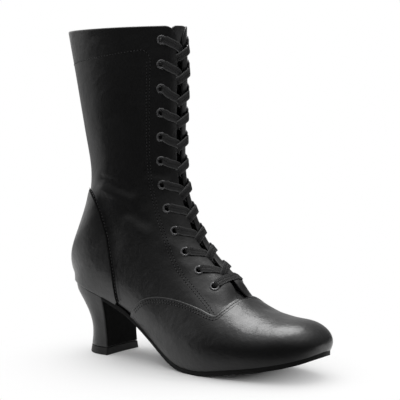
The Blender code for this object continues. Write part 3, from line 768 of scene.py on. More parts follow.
def speckled(name, scale, detail, dark, light, rough, contrast=(0.0, 1.0), **sockets):
    """Finish whose colour and roughness follow one noise."""
    material, tree, shader, where = blank_material(name)
    specks = noise(tree, where["Object"], scale, detail)
    fill(tree, shader, Base_Color=two_tone(tree, spread(tree, specks, *contrast), dark, light),
         Roughness=spread(tree, specks, *rough), **sockets)
    return material


LINING = cloth("lining_cloth", grey(0.014, 0.001), grey(0.05, 0.002), "Object", 1400.0, 0.0002,
               (0.75, 0.95), 0.3)
# The lace's light colour shows in the weave's raised yarns and, as a painted highlight, along the tape's
# edges.
LACE = cloth("lace_weave", grey(0.001, 0.0002), grey(0.078, 0.001), "UV", 1.0, 0.0003, (0.42, 0.68), 0.22)
THREAD = speckled("waxed_thread", 2500.0, 2.0, grey(0.004), grey(0.024, 0.001), (0.34, 0.52))
HOLE_SHADE = speckled("needle_hole_shade", 1800.0, 2.0, grey(0.0008), grey(0.003), (0.8, 1.0),
                      Specular_IOR_Level=0.05)
ENAMEL = speckled("black_enamel_metal", 900.0, 5.0, grey(0.03, 0.001), grey(0.20, 0.005), (0.05, 0.15),
                  (-0.6, 1.2), Metallic=0.7, Coat_Weight=0.5, Coat_Roughness=0.06)
print("cloth, thread and enamel ready")

# %% [markdown]
# The quarters and shaft are one wall, open at the collar and down the front. The outside is calf and the
# inside is lined with cloth, except for the top few millimetres, where the calf is turned in. Vamp and
# counter are the second layer, a millimetre and a half of calf with a rolled edge. The counter's cut edge
# is dyed a dull black, which draws its seam as a dark line.

# %% Quarters, vamp and counter
WALL = 1.8
OVERLAY, OVERLAY_GAP = 1.6, 0.05
SKIVED, SKIVE_PLACES = 0.75, (16.1, 16.6)   # the counter is pared thin at its peak
DRAWN_IN = 0.4          # share of the thickness left where the counter is drawn under the heel
TURNED_IN = 19.75       # the lining starts below this section place


def upper_piece():
    faces = SHEET["faces"]
    piece = make_piece("boot_upper", CALF, *panel_solid(SHEET, faces, 0.0, -WALL))
    lined = [number for number, face in enumerate(faces) if SHEET["place"][face].max() <= TURNED_IN]
    second_finish(piece, LINING, [len(faces) + number for number in lined])
    return piece


def overlay_piece(panel):
    chosen = [face for face, name in zip(SHEET["faces"], SHEET["panels"]) if name == panel]
    thick = OVERLAY * (1 - SKIVED * ramp(SHEET["place"], *SKIVE_PLACES))
    thick[SHEET["feather"] & (SHEET["place"] > COUNTER_FRONT)] *= DRAWN_IN
    solid = panel_solid(SHEET, chosen, OVERLAY_GAP + thick, OVERLAY_GAP)
    piece = make_piece("boot_" + panel, CALF, *solid)
    if panel == "counter":
        second_finish(piece, DULL_LEATHER, range(2 * len(chosen), len(piece.data.polygons)))
    return piece


upper = upper_piece()
finish_piece(overlay_piece("vamp"), ["vamp"])
finish_piece(overlay_piece("counter"), ["counter"])

# %% [markdown]
# The tongue fills the gap behind the facings up to the collar, where its corners are rounded and its top
# leans forward. It lies just deep enough for the lace to run between it and the facings.

# %% Tongue
TONGUE = 1.6
TONGUE_DEPTH = 3.7      # from the skin down to the tongue's outer face
THROAT_DEPTH, THROAT_PLACES = 2.1, (7.05, 7.55)     # and where it is sewn in at the throat
TONGUE_START, TONGUE_LOW, TONGUE_HIGH = 6.5, 14.0, 16.0
TONGUE_CORNERS = (7.0, 13.0)    # radius of its outer and its inner top corner
TONGUE_ROWS, TONGUE_COLUMNS, TONGUE_TOP_ROWS = 104, 28, 22
TONGUE_TURN, TONGUE_TOP = 19.46, 20.00      # section places where its corners turn in, and of its top
TONGUE_LEAN, LEAN_FROM = 3.0, 18.6          # its top leans forward
TONGUE_DRIFT, DRIFT_FROM = 5.0, 16.0        # and has slipped to the inner side


def round_corner(half, below, radius):
    """Half width of a strip at a distance below its top, with a rounded corner."""
    below = min(below, radius)
    return half - radius + math.sqrt(radius ** 2 - (radius - below) ** 2)


def tongue_piece():
    shares = np.linspace(-1, 1, TONGUE_COLUMNS + 1)
    turning = np.sin(np.linspace(0, math.pi / 2, TONGUE_TOP_ROWS))[1:]
    places = [*np.linspace(TONGUE_START, TONGUE_TURN, TONGUE_ROWS),
              *(TONGUE_TURN + (TONGUE_TOP - TONGUE_TURN) * turning)]
    points, depths = [], []
    for place in places:
        climb = (place - TONGUE_START) / (LAST - TONGUE_START)
        half = TONGUE_LOW + (TONGUE_HIGH - TONGUE_LOW) * climb
        below = (TONGUE_TOP - place) * FRONT_RISE
        outer, inner = (round_corner(half, below, radius) for radius in TONGUE_CORNERS)
        across = np.where(shares < 0, outer, inner) * shares + TONGUE_DRIFT * ramp(place, DRIFT_FROM, LAST)
        lean = np.array([TONGUE_LEAN * ramp(place, LEAN_FROM, LAST), 0.0, 0.0])
        points.extend(bare_skin(place, distance) + lean for distance in across)
        depth = THROAT_DEPTH + (TONGUE_DEPTH - THROAT_DEPTH) * ramp(place, *THROAT_PLACES)
        depths.extend([depth] * len(shares))
    faces = quads(len(places), len(shares))
    sheet = plain_sheet(np.array(points), faces)
    solid = panel_solid(sheet, faces, -np.array(depths), -TONGUE_DEPTH - TONGUE)
    return make_piece("boot_tongue", CALF, *solid)


finish_piece(tongue_piece(), ["tongue"])

# %% [markdown]
# The sole is a thin leather plate that follows the feather edge, standing out by two millimetres, with the
# floor flattening it under the ball. The insole inside is made by the same function. Both get a Bevel
# modifier, which is the quickest way to break a sharp edge evenly, and the modifier is then baked into the
# mesh.

# %% Outsole and insole
GAP = 0.3
SOLE_EDGE, SOLE_FORE, SOLE_WAIST = 2.0, 3.6, 2.4
HEEL_FRONT = 42.0       # where the sole ends against the heel breast
WAIST_DRAW, WAIST_DRAW_AT, WAIST_DRAW_HALF = 1.3, 62.0, 12.0
INSOLE, INSOLE_INSET = 1.5, 3.3
SOLE_BEVEL, INSOLE_BEVEL = 0.5, 0.4
SOLE_ACROSS, SOLE_ROWS, INSOLE_ROWS = 12, 70, 60
TOE_PLACES = [0.0, 0.06, 0.15, 0.28, 0.42, 0.58, 0.78]
SEAT_END = [12.7, 12.82, 12.9, 12.95, 12.98, float(BACK)]
SEAT_STEPS, TOE_STEPS = 261, 12     # samples of the feather line, and those that give the toe's slope
SEAT_PLACES = np.linspace(0, BACK, SEAT_STEPS)
SEAT_ROWS = [section_values(place) for place in SEAT_PLACES]
SEAT_X = np.array([row["xb"] for row in SEAT_ROWS])[::-1]
SEAT_Z = np.array([row["zb"] for row in SEAT_ROWS])[::-1]
TOE_SLOPE = (SEAT_Z[-1] - SEAT_Z[-TOE_STEPS]) / (SEAT_X[-1] - SEAT_X[-TOE_STEPS])


def seat_height(x):
    """Height of the feather line at a distance along the foot."""
    past_toe = SEAT_Z[-1] + TOE_SLOPE * (x - SEAT_X[-1])
    return np.where(x > SEAT_X[-1], past_toe, np.interp(x, SEAT_X, SEAT_Z))


def plan_edge(place, side, offset):
    """Feather edge moved outwards in plan."""
    step = PROBE_PLACE / 2
    if place < step:
        outward = np.array([1.0, 0.0, 0.0])
    elif place > BACK - step:
        outward = np.array([-1.0, 0.0, 0.0])
    else:
        along = feather(place + step, side) - feather(place - step, side)
        outward = unit(side * np.array([along[1], -along[0], 0.0]))
    return feather(place, side) + offset * outward


def sole_plate(name, material, places, offset, top_of, bottom_of, bevel):
    across = np.linspace(0, 1, SOLE_ACROSS + 1)[:, None]
    rows = []
    for place in places:
        lateral, medial = plan_edge(place, LATERAL, offset), plan_edge(place, MEDIAL, offset)
        rows.extend(lateral + (medial - lateral) * across)
    points = np.array(rows)
    first, rings = weld(points, quads(len(places), len(across)))
    points, rings = points[first], [ring for ring in rings if len(ring) > 2]
    top, bottom = points.copy(), points.copy()
    top[:, 2], bottom[:, 2] = top_of(points[:, 0]), bottom_of(points[:, 0])
    size = len(points)
    faces = rings + [[corner + size for corner in reversed(ring)] for ring in rings]
    faces += [(b, a, a + size, b + size) for a, b in open_edges(rings)]
    return beveled(make_piece(name, material, np.vstack([top, bottom]), faces), bevel)


def beveled(piece, width, segments=3, angle=38.0):
    """Outward faces, a rounded edge, and a plain mesh again."""
    shape = bmesh.new()
    shape.from_mesh(piece.data)
    bmesh.ops.recalc_face_normals(shape, faces=shape.faces)
    shape.to_mesh(piece.data)
    shape.free()
    rounding = piece.modifiers.new("broken edge", "BEVEL")
    rounding.width, rounding.segments = width * MM, segments
    rounding.limit_method, rounding.angle_limit = "ANGLE", math.radians(angle)
    return baked(piece)


def sole_top(x):
    """Top of the sole: under the feather line, and drawn up between the vamp's wing and the counter."""
    return seat_height(x) - GAP + WAIST_DRAW * np.exp(-((x - WAIST_DRAW_AT) / WAIST_DRAW_HALF) ** 2)


def sole_thickness(x):
    share = np.clip((x - HEEL_FRONT) / (TABLE[ROW["waist"], COLUMN["xb"]] - HEEL_FRONT), 0, 1)
    return SOLE_WAIST + (SOLE_FORE - SOLE_WAIST) * share


def sole_bottom(x):
    return np.maximum(0.0, seat_height(x) - GAP - sole_thickness(x))


def insole_top(x):
    return seat_height(x) + INSOLE


breast_place = float(np.interp(HEEL_FRONT, SEAT_X, SEAT_PLACES[::-1]))
sole_places = [*TOE_PLACES, *np.linspace(1, breast_place, SOLE_ROWS)]
outsole = sole_plate("boot_outsole", SOLE_LEATHER, sole_places, SOLE_EDGE, sole_top, sole_bottom,
                     SOLE_BEVEL)
finish_piece(outsole, ["outsole"])
insole_places = [*TOE_PLACES, *np.linspace(1, 12.5, INSOLE_ROWS), *SEAT_END]
insole = sole_plate("boot_insole", LINING, insole_places, -INSOLE_INSET, insole_top, seat_height,
                    INSOLE_BEVEL)
finish_piece(insole, ["insole"])

# %% [markdown]
# The heel is a waisted block covered in calf: D-shaped loops, flat in front and round behind, go through a
# table of heights. Its front face, the breast, is hollowed a little and carries a patch of matte leather
# with rounded upper corners. Below it the top piece, a hard wearing block, stands on the floor.

# %% Heel, breast and top piece
TOP_PIECE = 6.0
HEEL = [
    # share of height, back x, breast x, half width
    (0.00, 14.6, 41.0, 19.8), (0.20, 16.0, 40.3, 19.7), (0.38, 15.6, 40.0, 20.5),
    (0.55, 12.2, 40.1, 21.7), (0.70, 7.0, 40.5, 23.4), (0.86, 1.0, 41.0, 25.7), (1.00, -0.6, 41.4, 27.6),
]
TOP_PIECE_FOOT, TOP_PIECE_HEAD = (13.5, 41.5, 20.6), (14.5, 41.0, 19.9)
HEEL_ROUND, HEEL_ROUND_MOST = 1.15, 0.75
HEEL_LOOPS, HEEL_SIDES, SIDE_STEPS, BREAST_STEPS = 26, 40, 4, 10
BREAST_HOLLOW = 0.8
HEEL_BEVEL, TOP_PIECE_BEVEL, TOP_PIECE_LOOPS = 0.7, 0.5, 4
PATCH_INSET, PATCH_CORNER, PATCH = 1.3, 4.5, 0.35
PATCH_LOW, PATCH_HIGH, PATCH_ROWS, PATCH_COLUMNS = 0.02, 0.97, 29, 17   # shares of the heel's height first
HEEL_BASE = TOP_PIECE + GAP


def heel_sizes(share):
    """Back, breast and half width on a smooth curve through the table."""
    table = np.array(HEEL)
    rows = np.vstack([2 * table[0] - table[1], table, 2 * table[-1] - table[-2]])
    k = int(np.clip(np.searchsorted(table[:, 0], share) - 1, 0, len(table) - 2))
    a, b, c, d = rows[k:k + 4]
    t = (share - b[0]) / (c[0] - b[0])
    slope_b = (c - a)[1:] / (c - a)[0] * (c - b)[0]
    slope_c = (d - b)[1:] / (d - b)[0] * (c - b)[0]
    return hermite(t, b[1:], c[1:], slope_b, slope_c)


def heel_loop(back, breast, half, height_of):
    """D-shaped loop: a slightly hollow breast, straight sides and a half-elliptic back."""
    length = min((breast - back) * HEEL_ROUND_MOST, half * HEEL_ROUND)
    angles = np.linspace(-math.pi / 2, math.pi / 2, HEEL_SIDES)
    side = np.linspace(breast, back + length, SIDE_STEPS + 1)[:-1]
    front = np.linspace(1, -1, BREAST_STEPS + 1)[1:-1]
    xs = np.concatenate([side, back + length - length * np.cos(angles), side[::-1],
                         breast - BREAST_HOLLOW * (1 - front ** 2)])
    straight = np.full(len(side), half)
    ys = np.concatenate([-straight, half * np.sin(angles), straight, half * front])
    return np.stack([xs, ys, height_of(xs)], axis=1)


def block(name, material, loops, bevel):
    """Closed block through loops of equal length, with flat ends."""
    count, size = len(loops[0]), len(loops) * len(loops[0])
    faces = quads(len(loops), count, closed=True) + [range(count), range(size - count, size)]
    return beveled(make_piece(name, material, np.vstack(loops), faces), bevel)


def heel_height(x, share):
    return HEEL_BASE + share * (seat_height(x) - GAP - HEEL_BASE)


def breast_patch():
    """Matte patch on the breast, narrower than the heel, with rounded upper corners."""
    across = np.linspace(-1, 1, PATCH_COLUMNS)
    points = []
    for share in np.linspace(PATCH_LOW, PATCH_HIGH, PATCH_ROWS):
        _, breast, half = heel_sizes(share)
        height, top = (float(heel_height(breast, level)) for level in (share, PATCH_HIGH))
        width = round_corner(half - PATCH_INSET, top - height, PATCH_CORNER) * across
        hollow = BREAST_HOLLOW * (1 - (width / half) ** 2)
        points.extend(np.stack([breast - hollow, width, np.full(len(width), height)], axis=1))
    faces = quads(PATCH_ROWS, PATCH_COLUMNS)
    sheet = plain_sheet(np.array(points), faces)
    return make_piece("boot_heel_breast", DULL_LEATHER, *panel_solid(sheet, faces, PATCH, -PATCH))


heel_loops = [heel_loop(*heel_sizes(share), lambda x, s=share: heel_height(x, s))
              for share in np.linspace(0, 1, HEEL_LOOPS)]
finish_piece(block("boot_heel", HEEL_CALF, heel_loops, HEEL_BEVEL), ["heel"])
finish_piece(breast_patch())
top_piece_sizes = np.linspace(TOP_PIECE_FOOT, TOP_PIECE_HEAD, TOP_PIECE_LOOPS)
top_piece_loops = [heel_loop(*sizes, lambda x, z=height: np.full_like(x, z)) for sizes, height in zip(
    top_piece_sizes, np.linspace(0, TOP_PIECE, TOP_PIECE_LOOPS))]
top_piece = block("boot_top_piece", RUBBER, top_piece_loops, TOP_PIECE_BEVEL)
finish_piece(top_piece, ["heel_top_piece"])

# %% [markdown]
# Twelve pairs of eyelets line the facings. Real holes are cut through the wall first, with one Boolean.
# The rolled metal rings repeat, so Geometry Nodes make them: one ring is swept in the tree and set on a
# point for each eyelet, turned to the skin's normal that the point carries.

# %% Eyelet holes
EYELET_LINE, EYELET_FIRST, EYELET_LAST, EYELET_PAIRS = 18.0, 19.62, 7.80, 12
EYELET_HOLE, EYELET_RIM, EYELET_HIGH = 2.1, 3.95, 0.95
HOLE_SIDES, HOLE_REACH = 20, 3.0
RING_LIFT = 0.15        # the rings stand this far out of the skin
EYELET_PROBES = 300     # samples of the line on which the eyelets are spaced
SHARP_ANGLE = 50.0      # the holes' edges stay sharp


def eyelet_places():
    """Section places of the eyelets, evenly spaced along the facing."""
    places = np.linspace(EYELET_FIRST, EYELET_LAST, EYELET_PROBES)
    lengths = run_lengths(np.array([bare_skin(place, -EYELET_LINE) for place in places]))
    return np.interp(np.linspace(0, lengths[-1], EYELET_PAIRS), lengths, places)


EYELETS = eyelet_places()
EYELET_FRAMES = [skin_frame(place, side * EYELET_LINE) for side in (LATERAL, MEDIAL) for place in EYELETS]
HOLE_ENDS = [*range(HOLE_SIDES)][::-1], [*range(HOLE_SIDES, 2 * HOLE_SIDES)]


def hole_cutter():
    points, faces = [], []
    angles = 2 * math.pi * np.arange(HOLE_SIDES)[:, None] / HOLE_SIDES
    for centre, normal, across in EYELET_FRAMES:
        base = len(points)
        spokes = np.cos(angles) * across + np.sin(angles) * np.cross(normal, across)
        for height in (-HOLE_REACH, HOLE_REACH):
            points.extend(centre + height * normal + EYELET_HOLE * spokes)
        for face in [*quads(2, HOLE_SIDES, closed=True), *HOLE_ENDS]:
            faces.append([base + corner for corner in face])
    return make_piece("hole_cutter", CALF, points, faces)


cutter = hole_cutter()
piercing = upper.modifiers.new("eyelet holes", "BOOLEAN")
piercing.operation, piercing.solver, piercing.object = "DIFFERENCE", "MANIFOLD", cutter
baked(upper)
bpy.data.objects.remove(cutter)
upper.data.shade_smooth()
upper.data.set_sharp_from_angle(angle=math.radians(SHARP_ANGLE))
finish_piece(upper, ["upper"])

# %% [markdown]
# The rings need a tree with named sizes. Every tree of this lesson ends in the same three nodes, and its
# result is kept as a plain mesh.

# %% Eyelet rings by Geometry Nodes
GEOMETRY, MATERIAL = "NodeSocketGeometry", "NodeSocketMaterial"


def node_tree(name, sizes):
    """Empty geometry tree with named size inputs and a material input."""
    inputs = [("Geometry", GEOMETRY), *((label, FLOAT) for label in sizes), ("Material", MATERIAL)]
    return new_group(name, inputs, [("Geometry", GEOMETRY)], "GeometryNodeTree")


def close_tree(tree, given, leave, instances):
    """Every tree ends the same way: smooth, realized and with its material."""
    real = add_node(tree, "GeometryNodeRealizeInstances", None, Geometry=instances)
    smooth = add_node(tree, "GeometryNodeSetShadeSmooth", None, Geometry=real.outputs[0])
    painted = add_node(tree, "GeometryNodeSetMaterial", None, Geometry=smooth.outputs[0],
                       Material=given["Material"])
    fill(tree, leave, Geometry=painted.outputs[0])


def facing_out(tree, rotation=None, axis="Z", pivot="AUTO"):
    """Rotation that turns an axis to the skin normal stored on the points."""
    stored = add_node(tree, "GeometryNodeInputNamedAttribute", {"data_type": "FLOAT_VECTOR"},
                      Name="skin_normal")
    turned = add_node(tree, "FunctionNodeAlignRotationToVector", {"axis": axis, "pivot_axis": pivot},
                      Vector=stored.outputs["Attribute"])
    if rotation:
        fill(tree, turned, Rotation=rotation)
    return turned.outputs[0]


def ring_tree():
    tree, given, leave = node_tree("eyelet_rings", ["Ring Radius", "Roll Radius", "Flatness"])
    ring, roll = (
        add_node(tree, "GeometryNodeCurvePrimitiveCircle", None, Resolution=steps, Radius=given[size])
        for steps, size in ((36, "Ring Radius"), (10, "Roll Radius")))
    swept = add_node(tree, "GeometryNodeCurveToMesh", None, Curve=ring.outputs[0],
                     Profile_Curve=roll.outputs[0])
    scale = add_node(tree, "ShaderNodeCombineXYZ", None, X=1.0, Y=1.0, Z=given["Flatness"])
    flat = add_node(tree, "GeometryNodeTransform", None, Geometry=swept.outputs[0], Scale=scale.outputs[0])
    placed = add_node(tree, "GeometryNodeInstanceOnPoints", None, Points=given["Geometry"],
                      Instance=flat.outputs[0], Rotation=facing_out(tree))
    close_tree(tree, given, leave, placed.outputs[0])
    return tree


def grow(name, tree, points, edges, normals, sizes, material):
    """Run a geometry tree on points or lines that carry the skin's normal, and keep its result as a mesh."""
    mesh = frame_mesh(name, points, edges, [])
    mesh.attributes.new("skin_normal", "FLOAT_VECTOR", "POINT").data.foreach_set("vector", np.ravel(normals))
    piece = add_object(name, mesh)
    nodes = piece.modifiers.new(name, "NODES")
    nodes.node_group = tree
    values = {**sizes, "Material": material}
    for item in tree.interface.items_tree:
        if item.in_out == "INPUT" and item.name in values:
            nodes[item.identifier] = values[item.name]
    return baked(piece)


eyelet_seats = [centre + RING_LIFT * normal for centre, normal, _ in EYELET_FRAMES]
eyelet_normals = [normal for _, normal, _ in EYELET_FRAMES]
roll_radius = (EYELET_RIM - EYELET_HOLE) / 2
eyelets = grow("boot_eyelets", ring_tree(), eyelet_seats, [], eyelet_normals, {
    "Ring Radius": (EYELET_HOLE + roll_radius) * MM, "Roll Radius": roll_radius * MM,
    "Flatness": EYELET_HIGH / roll_radius}, ENAMEL)
finish_piece(eyelets, [
    f"eyelet_{word}_{number:02d}"
    for word in ("lateral", "medial") for number in range(1, EYELET_PAIRS + 1)])

# %% [markdown]
# The lace is a flat woven tape. It starts as a bar across the bottom pair. From there each strand comes up
# through an eyelet, lies on the facing, crosses its twin over the gap and dives under the other facing to
# the next eyelet. A strand is drawn with a small table of knots: the distance from the centre, the height
# above the skin, and how far it has come to the next eyelet. Its section changes from a bunched cord in
# the hole to a flat tape. Its ends stay hidden at the top pair.

# %% Lace
LACE_WIDE, LACE_THICK = 6.6, 1.1
BUNCHED_WIDE, BUNCHED_THICK = 3.2, 1.7
BUNCH_FROM, BUNCH_TO = 0.6, 3.2     # distance from the hole's centre over which the tape spreads
LACE_SIDES, LACE_STEPS, KNOT_STEPS = 18, 72, 12
SQUARE_WIDE, SQUARE_THICK = 0.42, 0.60      # the lower, the squarer the tape's section
EDGE_SHEEN_SHARP = 8          # the higher, the narrower the painted highlight along the tape's edges
YARN = 0.55             # width of a yarn in the weave
OUT_OF_HOLE = [
    # from own side's centre line, height above the skin, share of the way down to the next eyelet
    (17.7, -4.6, 0.0), (17.5, -2.8, 0.0), (17.1, -0.9, 0.0), (16.4, 0.6, 0.01),
]
INTO_HOLE = [
    (-6.0, -2.7, 0.90), (-10.0, -2.75, 0.96), (-15.0, -2.8, 0.99), (-17.2, -3.6, 1.0), (-18.1, -4.8, 1.0),
]
OVER = OUT_OF_HOLE + [
    (15.4, 1.0, 0.07), (14.2, 1.0, 0.16), (13.0, 1.1, 0.25), (11.0, 1.6, 0.34), (8.5, 2.4, 0.41),
    (6.0, 3.0, 0.47), (4.0, 3.2, 0.53), (2.0, 2.9, 0.59), (0.2, 2.3, 0.66), (-1.4, 1.3, 0.73),
    (-2.5, 0.2, 0.78), (-3.3, -1.1, 0.82), (-4.2, -2.2, 0.86),
] + INTO_HOLE
UNDER = OUT_OF_HOLE + [
    (15.4, 1.45, 0.05), (14.2, 1.4, 0.11), (13.0, 1.0, 0.17), (11.0, 0.7, 0.25), (8.5, 0.6, 0.33),
    (6.0, 0.6, 0.40), (4.0, 0.6, 0.46), (2.0, 0.45, 0.53), (0.2, 0.1, 0.60), (-1.4, -0.5, 0.67),
    (-2.5, -1.1, 0.72), (-3.3, -1.7, 0.76), (-4.2, -2.3, 0.80),
] + INTO_HOLE
BAR_HALF = OUT_OF_HOLE + [
    (15.4, 1.5, 0.0), (14.2, 1.4, 0.0), (13.0, 1.0, 0.0), (11.0, 0.7, 0.0), (8.0, 0.65, 0.0),
    (4.0, 0.9, 0.0), (0.0, 1.1, 0.0),
]
BAR = BAR_HALF + [(-distance, height, 0.0) for distance, height, _ in reversed(BAR_HALF[:-1])]
STEEPNESS = [0.35, 0.7, 1.4, 1.15, 1.4, 1.2, 1.05, 0.9, 1.0, 1.15, 1.1]     # no two crossings lie alike


print("knots on a crossing:", len(OVER))

# %% Sweep the lace
def through(knots, count):
    """Evenly spaced points on a smooth curve through given knots."""
    knots = np.array(knots, float)
    rows = np.vstack([2 * knots[0] - knots[1], knots, 2 * knots[-1] - knots[-2]])
    last = len(knots) - 2
    fine = np.array([between(*rows[k:k + 4], t) for k in range(last + 1)
                     for t in np.linspace(0, 1, KNOT_STEPS, endpoint=k == last)])
    lengths = run_lengths(fine)
    even = np.linspace(0, lengths[-1], count)
    return np.stack([np.interp(even, lengths, column) for column in fine.T], axis=1)


def lace_line(knots, start, end, side, steepness=1.0):
    """Centre line, normals and distance from the nearer hole along one strand."""
    line, normals, from_hole = [], [], []
    for distance, height, share in through(knots, LACE_STEPS):
        share = np.clip(share * (1 + (steepness - 1) * (1 - share)), 0, 1)
        point, normal, _ = skin_frame(start + (end - start) * share, side * distance)
        line.append(point + height * normal)
        normals.append(normal)
        from_hole.append(EYELET_LINE - abs(distance))
    return np.array(line), np.array(normals), np.array(from_hole)


def lace_strand(line, normals, from_hole):
    """Sweep a rounded section along a strand; each corner's UV is in yarns, and its edges carry a painted
    highlight.
    """
    tangents = unit(np.gradient(line, axis=0))
    breadths = unit(np.cross(normals, tangents))
    rises = np.cross(tangents, breadths)
    spread_out = ramp(from_hole, BUNCH_FROM, BUNCH_TO)[:, None, None]
    wide = BUNCHED_WIDE + (LACE_WIDE - BUNCHED_WIDE) * spread_out
    thick = BUNCHED_THICK + (LACE_THICK - BUNCHED_THICK) * spread_out
    angles = 2 * math.pi * np.arange(LACE_SIDES) / LACE_SIDES
    flat_x = np.sign(np.cos(angles)) * np.abs(np.cos(angles)) ** SQUARE_WIDE
    flat_y = np.sign(np.sin(angles)) * np.abs(np.sin(angles)) ** SQUARE_THICK
    points = (line[:, None] + wide / 2 * flat_x[:, None] * breadths[:, None]
              + thick / 2 * flat_y[:, None] * rises[:, None]).reshape(-1, 3)
    faces, uvs = quads(len(line), LACE_SIDES, closed=True), []
    lengths = run_lengths(line) / YARN
    around = np.round(2 * LACE_WIDE / YARN / 2) * 2
    for face in faces:
        i, j = divmod(face[0], LACE_SIDES)
        left, right = around * j / LACE_SIDES, around * (j + 1) / LACE_SIDES
        uvs += [(left, lengths[i]), (right, lengths[i]), (right, lengths[i + 1]), (left, lengths[i + 1])]
    faces += [range(LACE_SIDES)[::-1], range(len(points) - LACE_SIDES, len(points))]
    uvs += [(0.0, 0.0)] * (2 * LACE_SIDES)
    return points, faces, uvs, np.tile(np.abs(flat_x) ** EDGE_SHEEN_SHARP, len(line))


def lace_piece():
    strands = [lace_line(BAR, EYELETS[-1], EYELETS[-1], LATERAL)]
    for high, low, steepness in zip(EYELETS[:-1], EYELETS[1:], STEEPNESS):
        strands.append(lace_line(UNDER, high, low, LATERAL, steepness))
        strands.append(lace_line(OVER, high, low, MEDIAL))
    points, faces, uvs, edge_value = [], [], [], []
    for strand in strands:
        base = len(points)
        new_points, new_faces, new_uvs, new_edge_sheen = lace_strand(*strand)
        points.extend(new_points)
        edge_value.extend(new_edge_sheen)
        faces.extend([corner + base for corner in face] for face in new_faces)
        uvs.extend(new_uvs)
    piece = make_piece("boot_lace", LACE, points, faces, edge_value)
    piece.data.uv_layers.new(name="yarns").data.foreach_set("uv", np.ravel(uvs))
    return piece


finish_piece(lace_piece(), [
    f"lace_crossing_{number:02d}" for number in range(1, EYELET_PAIRS)] + ["lace_bar"])

# %% [markdown]
# Stitches hold the layers together, and there are several hundred of them, so they are grown by Geometry
# Nodes. Each seam is a line on the skin, drawn at a fixed distance inside a panel's edge.

# %% Seam lines
STITCH_LONG, STITCH_WIDE, STITCH_PITCH = 1.7, 0.60, 2.6
NEEDLE_HOLE_SHADE_SIZE = (1.25, 0.75, 0.30)     # length, width and height of the black disc at the end of a stitch: painted shade for the needle's dimple
VAMP_ROWS, COUNTER_ROWS, FACING_ROW_GAP = (1.7, 3.7), (2.4,), 2.6
ON_OVERLAY = OVERLAY + OVERLAY_GAP
FACING_SEAM = [
    # place  from centre
    (7.10, 33.2), (7.50, 32.2), (8.38, 30.0), (9.43, 29.0), (10.68, 26.4), (12.20, 25.8), (14.18, 28.0),
    (16.10, 29.2), (17.85, 27.8), (19.02, 26.8),
]
TOP_SEAM_PLACE, TOP_SEAM_CORNER, CORNER_STEPS = 19.40, 35.0, 12     # the collar's seam and its corners
SEAM_STEP, COUNTER_STEPS, FACING_STEPS = 1.5, 100, 150
WING_RUNS = [
    # from, to, points
    (VAMP_THROAT, 7.05, 14), (7.07, 9.50, 46), (9.52, VAMP_WING_END - 0.005, 24),
]


def edge_line(route, inset, lift):
    """A route of places and signed distances, moved on the skin by an inset to its left, with normals."""
    frames = [skin_frame(place, distance) for place, distance in route]
    points, normals, _ = (np.array(column) for column in zip(*frames))
    tangents = unit(np.gradient(points, axis=0))
    return points + inset * np.cross(normals, tangents) + lift * normals, normals


def vamp_route(side):
    """From the centre line along the throat and back down the wing."""
    throat = np.maximum(np.arange(0, VAMP_EDGE[0][1], SEAM_STEP), 0.01)
    wing = np.concatenate([np.linspace(*run) for run in WING_RUNS])
    return ([(VAMP_THROAT, side * distance) for distance in throat]
            + [(place, side * cut_edge(VAMP_EDGE, place)) for place in wing])


def counter_route(side):
    """Up the counter's edge, as far as the peak that is pared thin."""
    places = np.linspace(COUNTER_FRONT + 0.03, SKIVE_PLACES[0], COUNTER_STEPS)
    return [(place, side * cut_edge(COUNTER_EDGE, place)) for place in places]


def facing_route(side, shift):
    places = np.linspace(FACING_SEAM[0][0], FACING_SEAM[-1][0], FACING_STEPS)
    return [(place, side * (cut_edge(FACING_SEAM, place) + shift)) for place in places]


def top_route():
    """Round the back of the shaft from one facing seam to the other, with rounded corners."""
    place, distance = FACING_SEAM[-1]
    rise, run = TOP_SEAM_PLACE - place, TOP_SEAM_CORNER - distance
    corner = [(place + rise * math.sin(turn), TOP_SEAM_CORNER - run * math.cos(turn))
              for turn in np.linspace(0, math.pi / 2, CORNER_STEPS)]
    halves = []
    for side in (LATERAL, MEDIAL):
        level = np.arange(TOP_SEAM_CORNER + SEAM_STEP, girth(TOP_SEAM_PLACE, side) - 0.5, SEAM_STEP)
        half = corner + [(TOP_SEAM_PLACE, distance) for distance in level]
        halves.append([(place, side * distance) for place, distance in half])
    return halves[0] + halves[1][::-1]


seams = [edge_line(top_route(), 0.0, 0.0)]
for side in (LATERAL, MEDIAL):
    seams += [edge_line(vamp_route(side), -side * inset, ON_OVERLAY) for inset in VAMP_ROWS]
    seams += [edge_line(counter_route(side), side * inset, ON_OVERLAY) for inset in COUNTER_ROWS]
    seams += [edge_line(facing_route(side, shift), 0.0, 0.0) for shift in (0.0, FACING_ROW_GAP)]
print("seams:", len(seams))
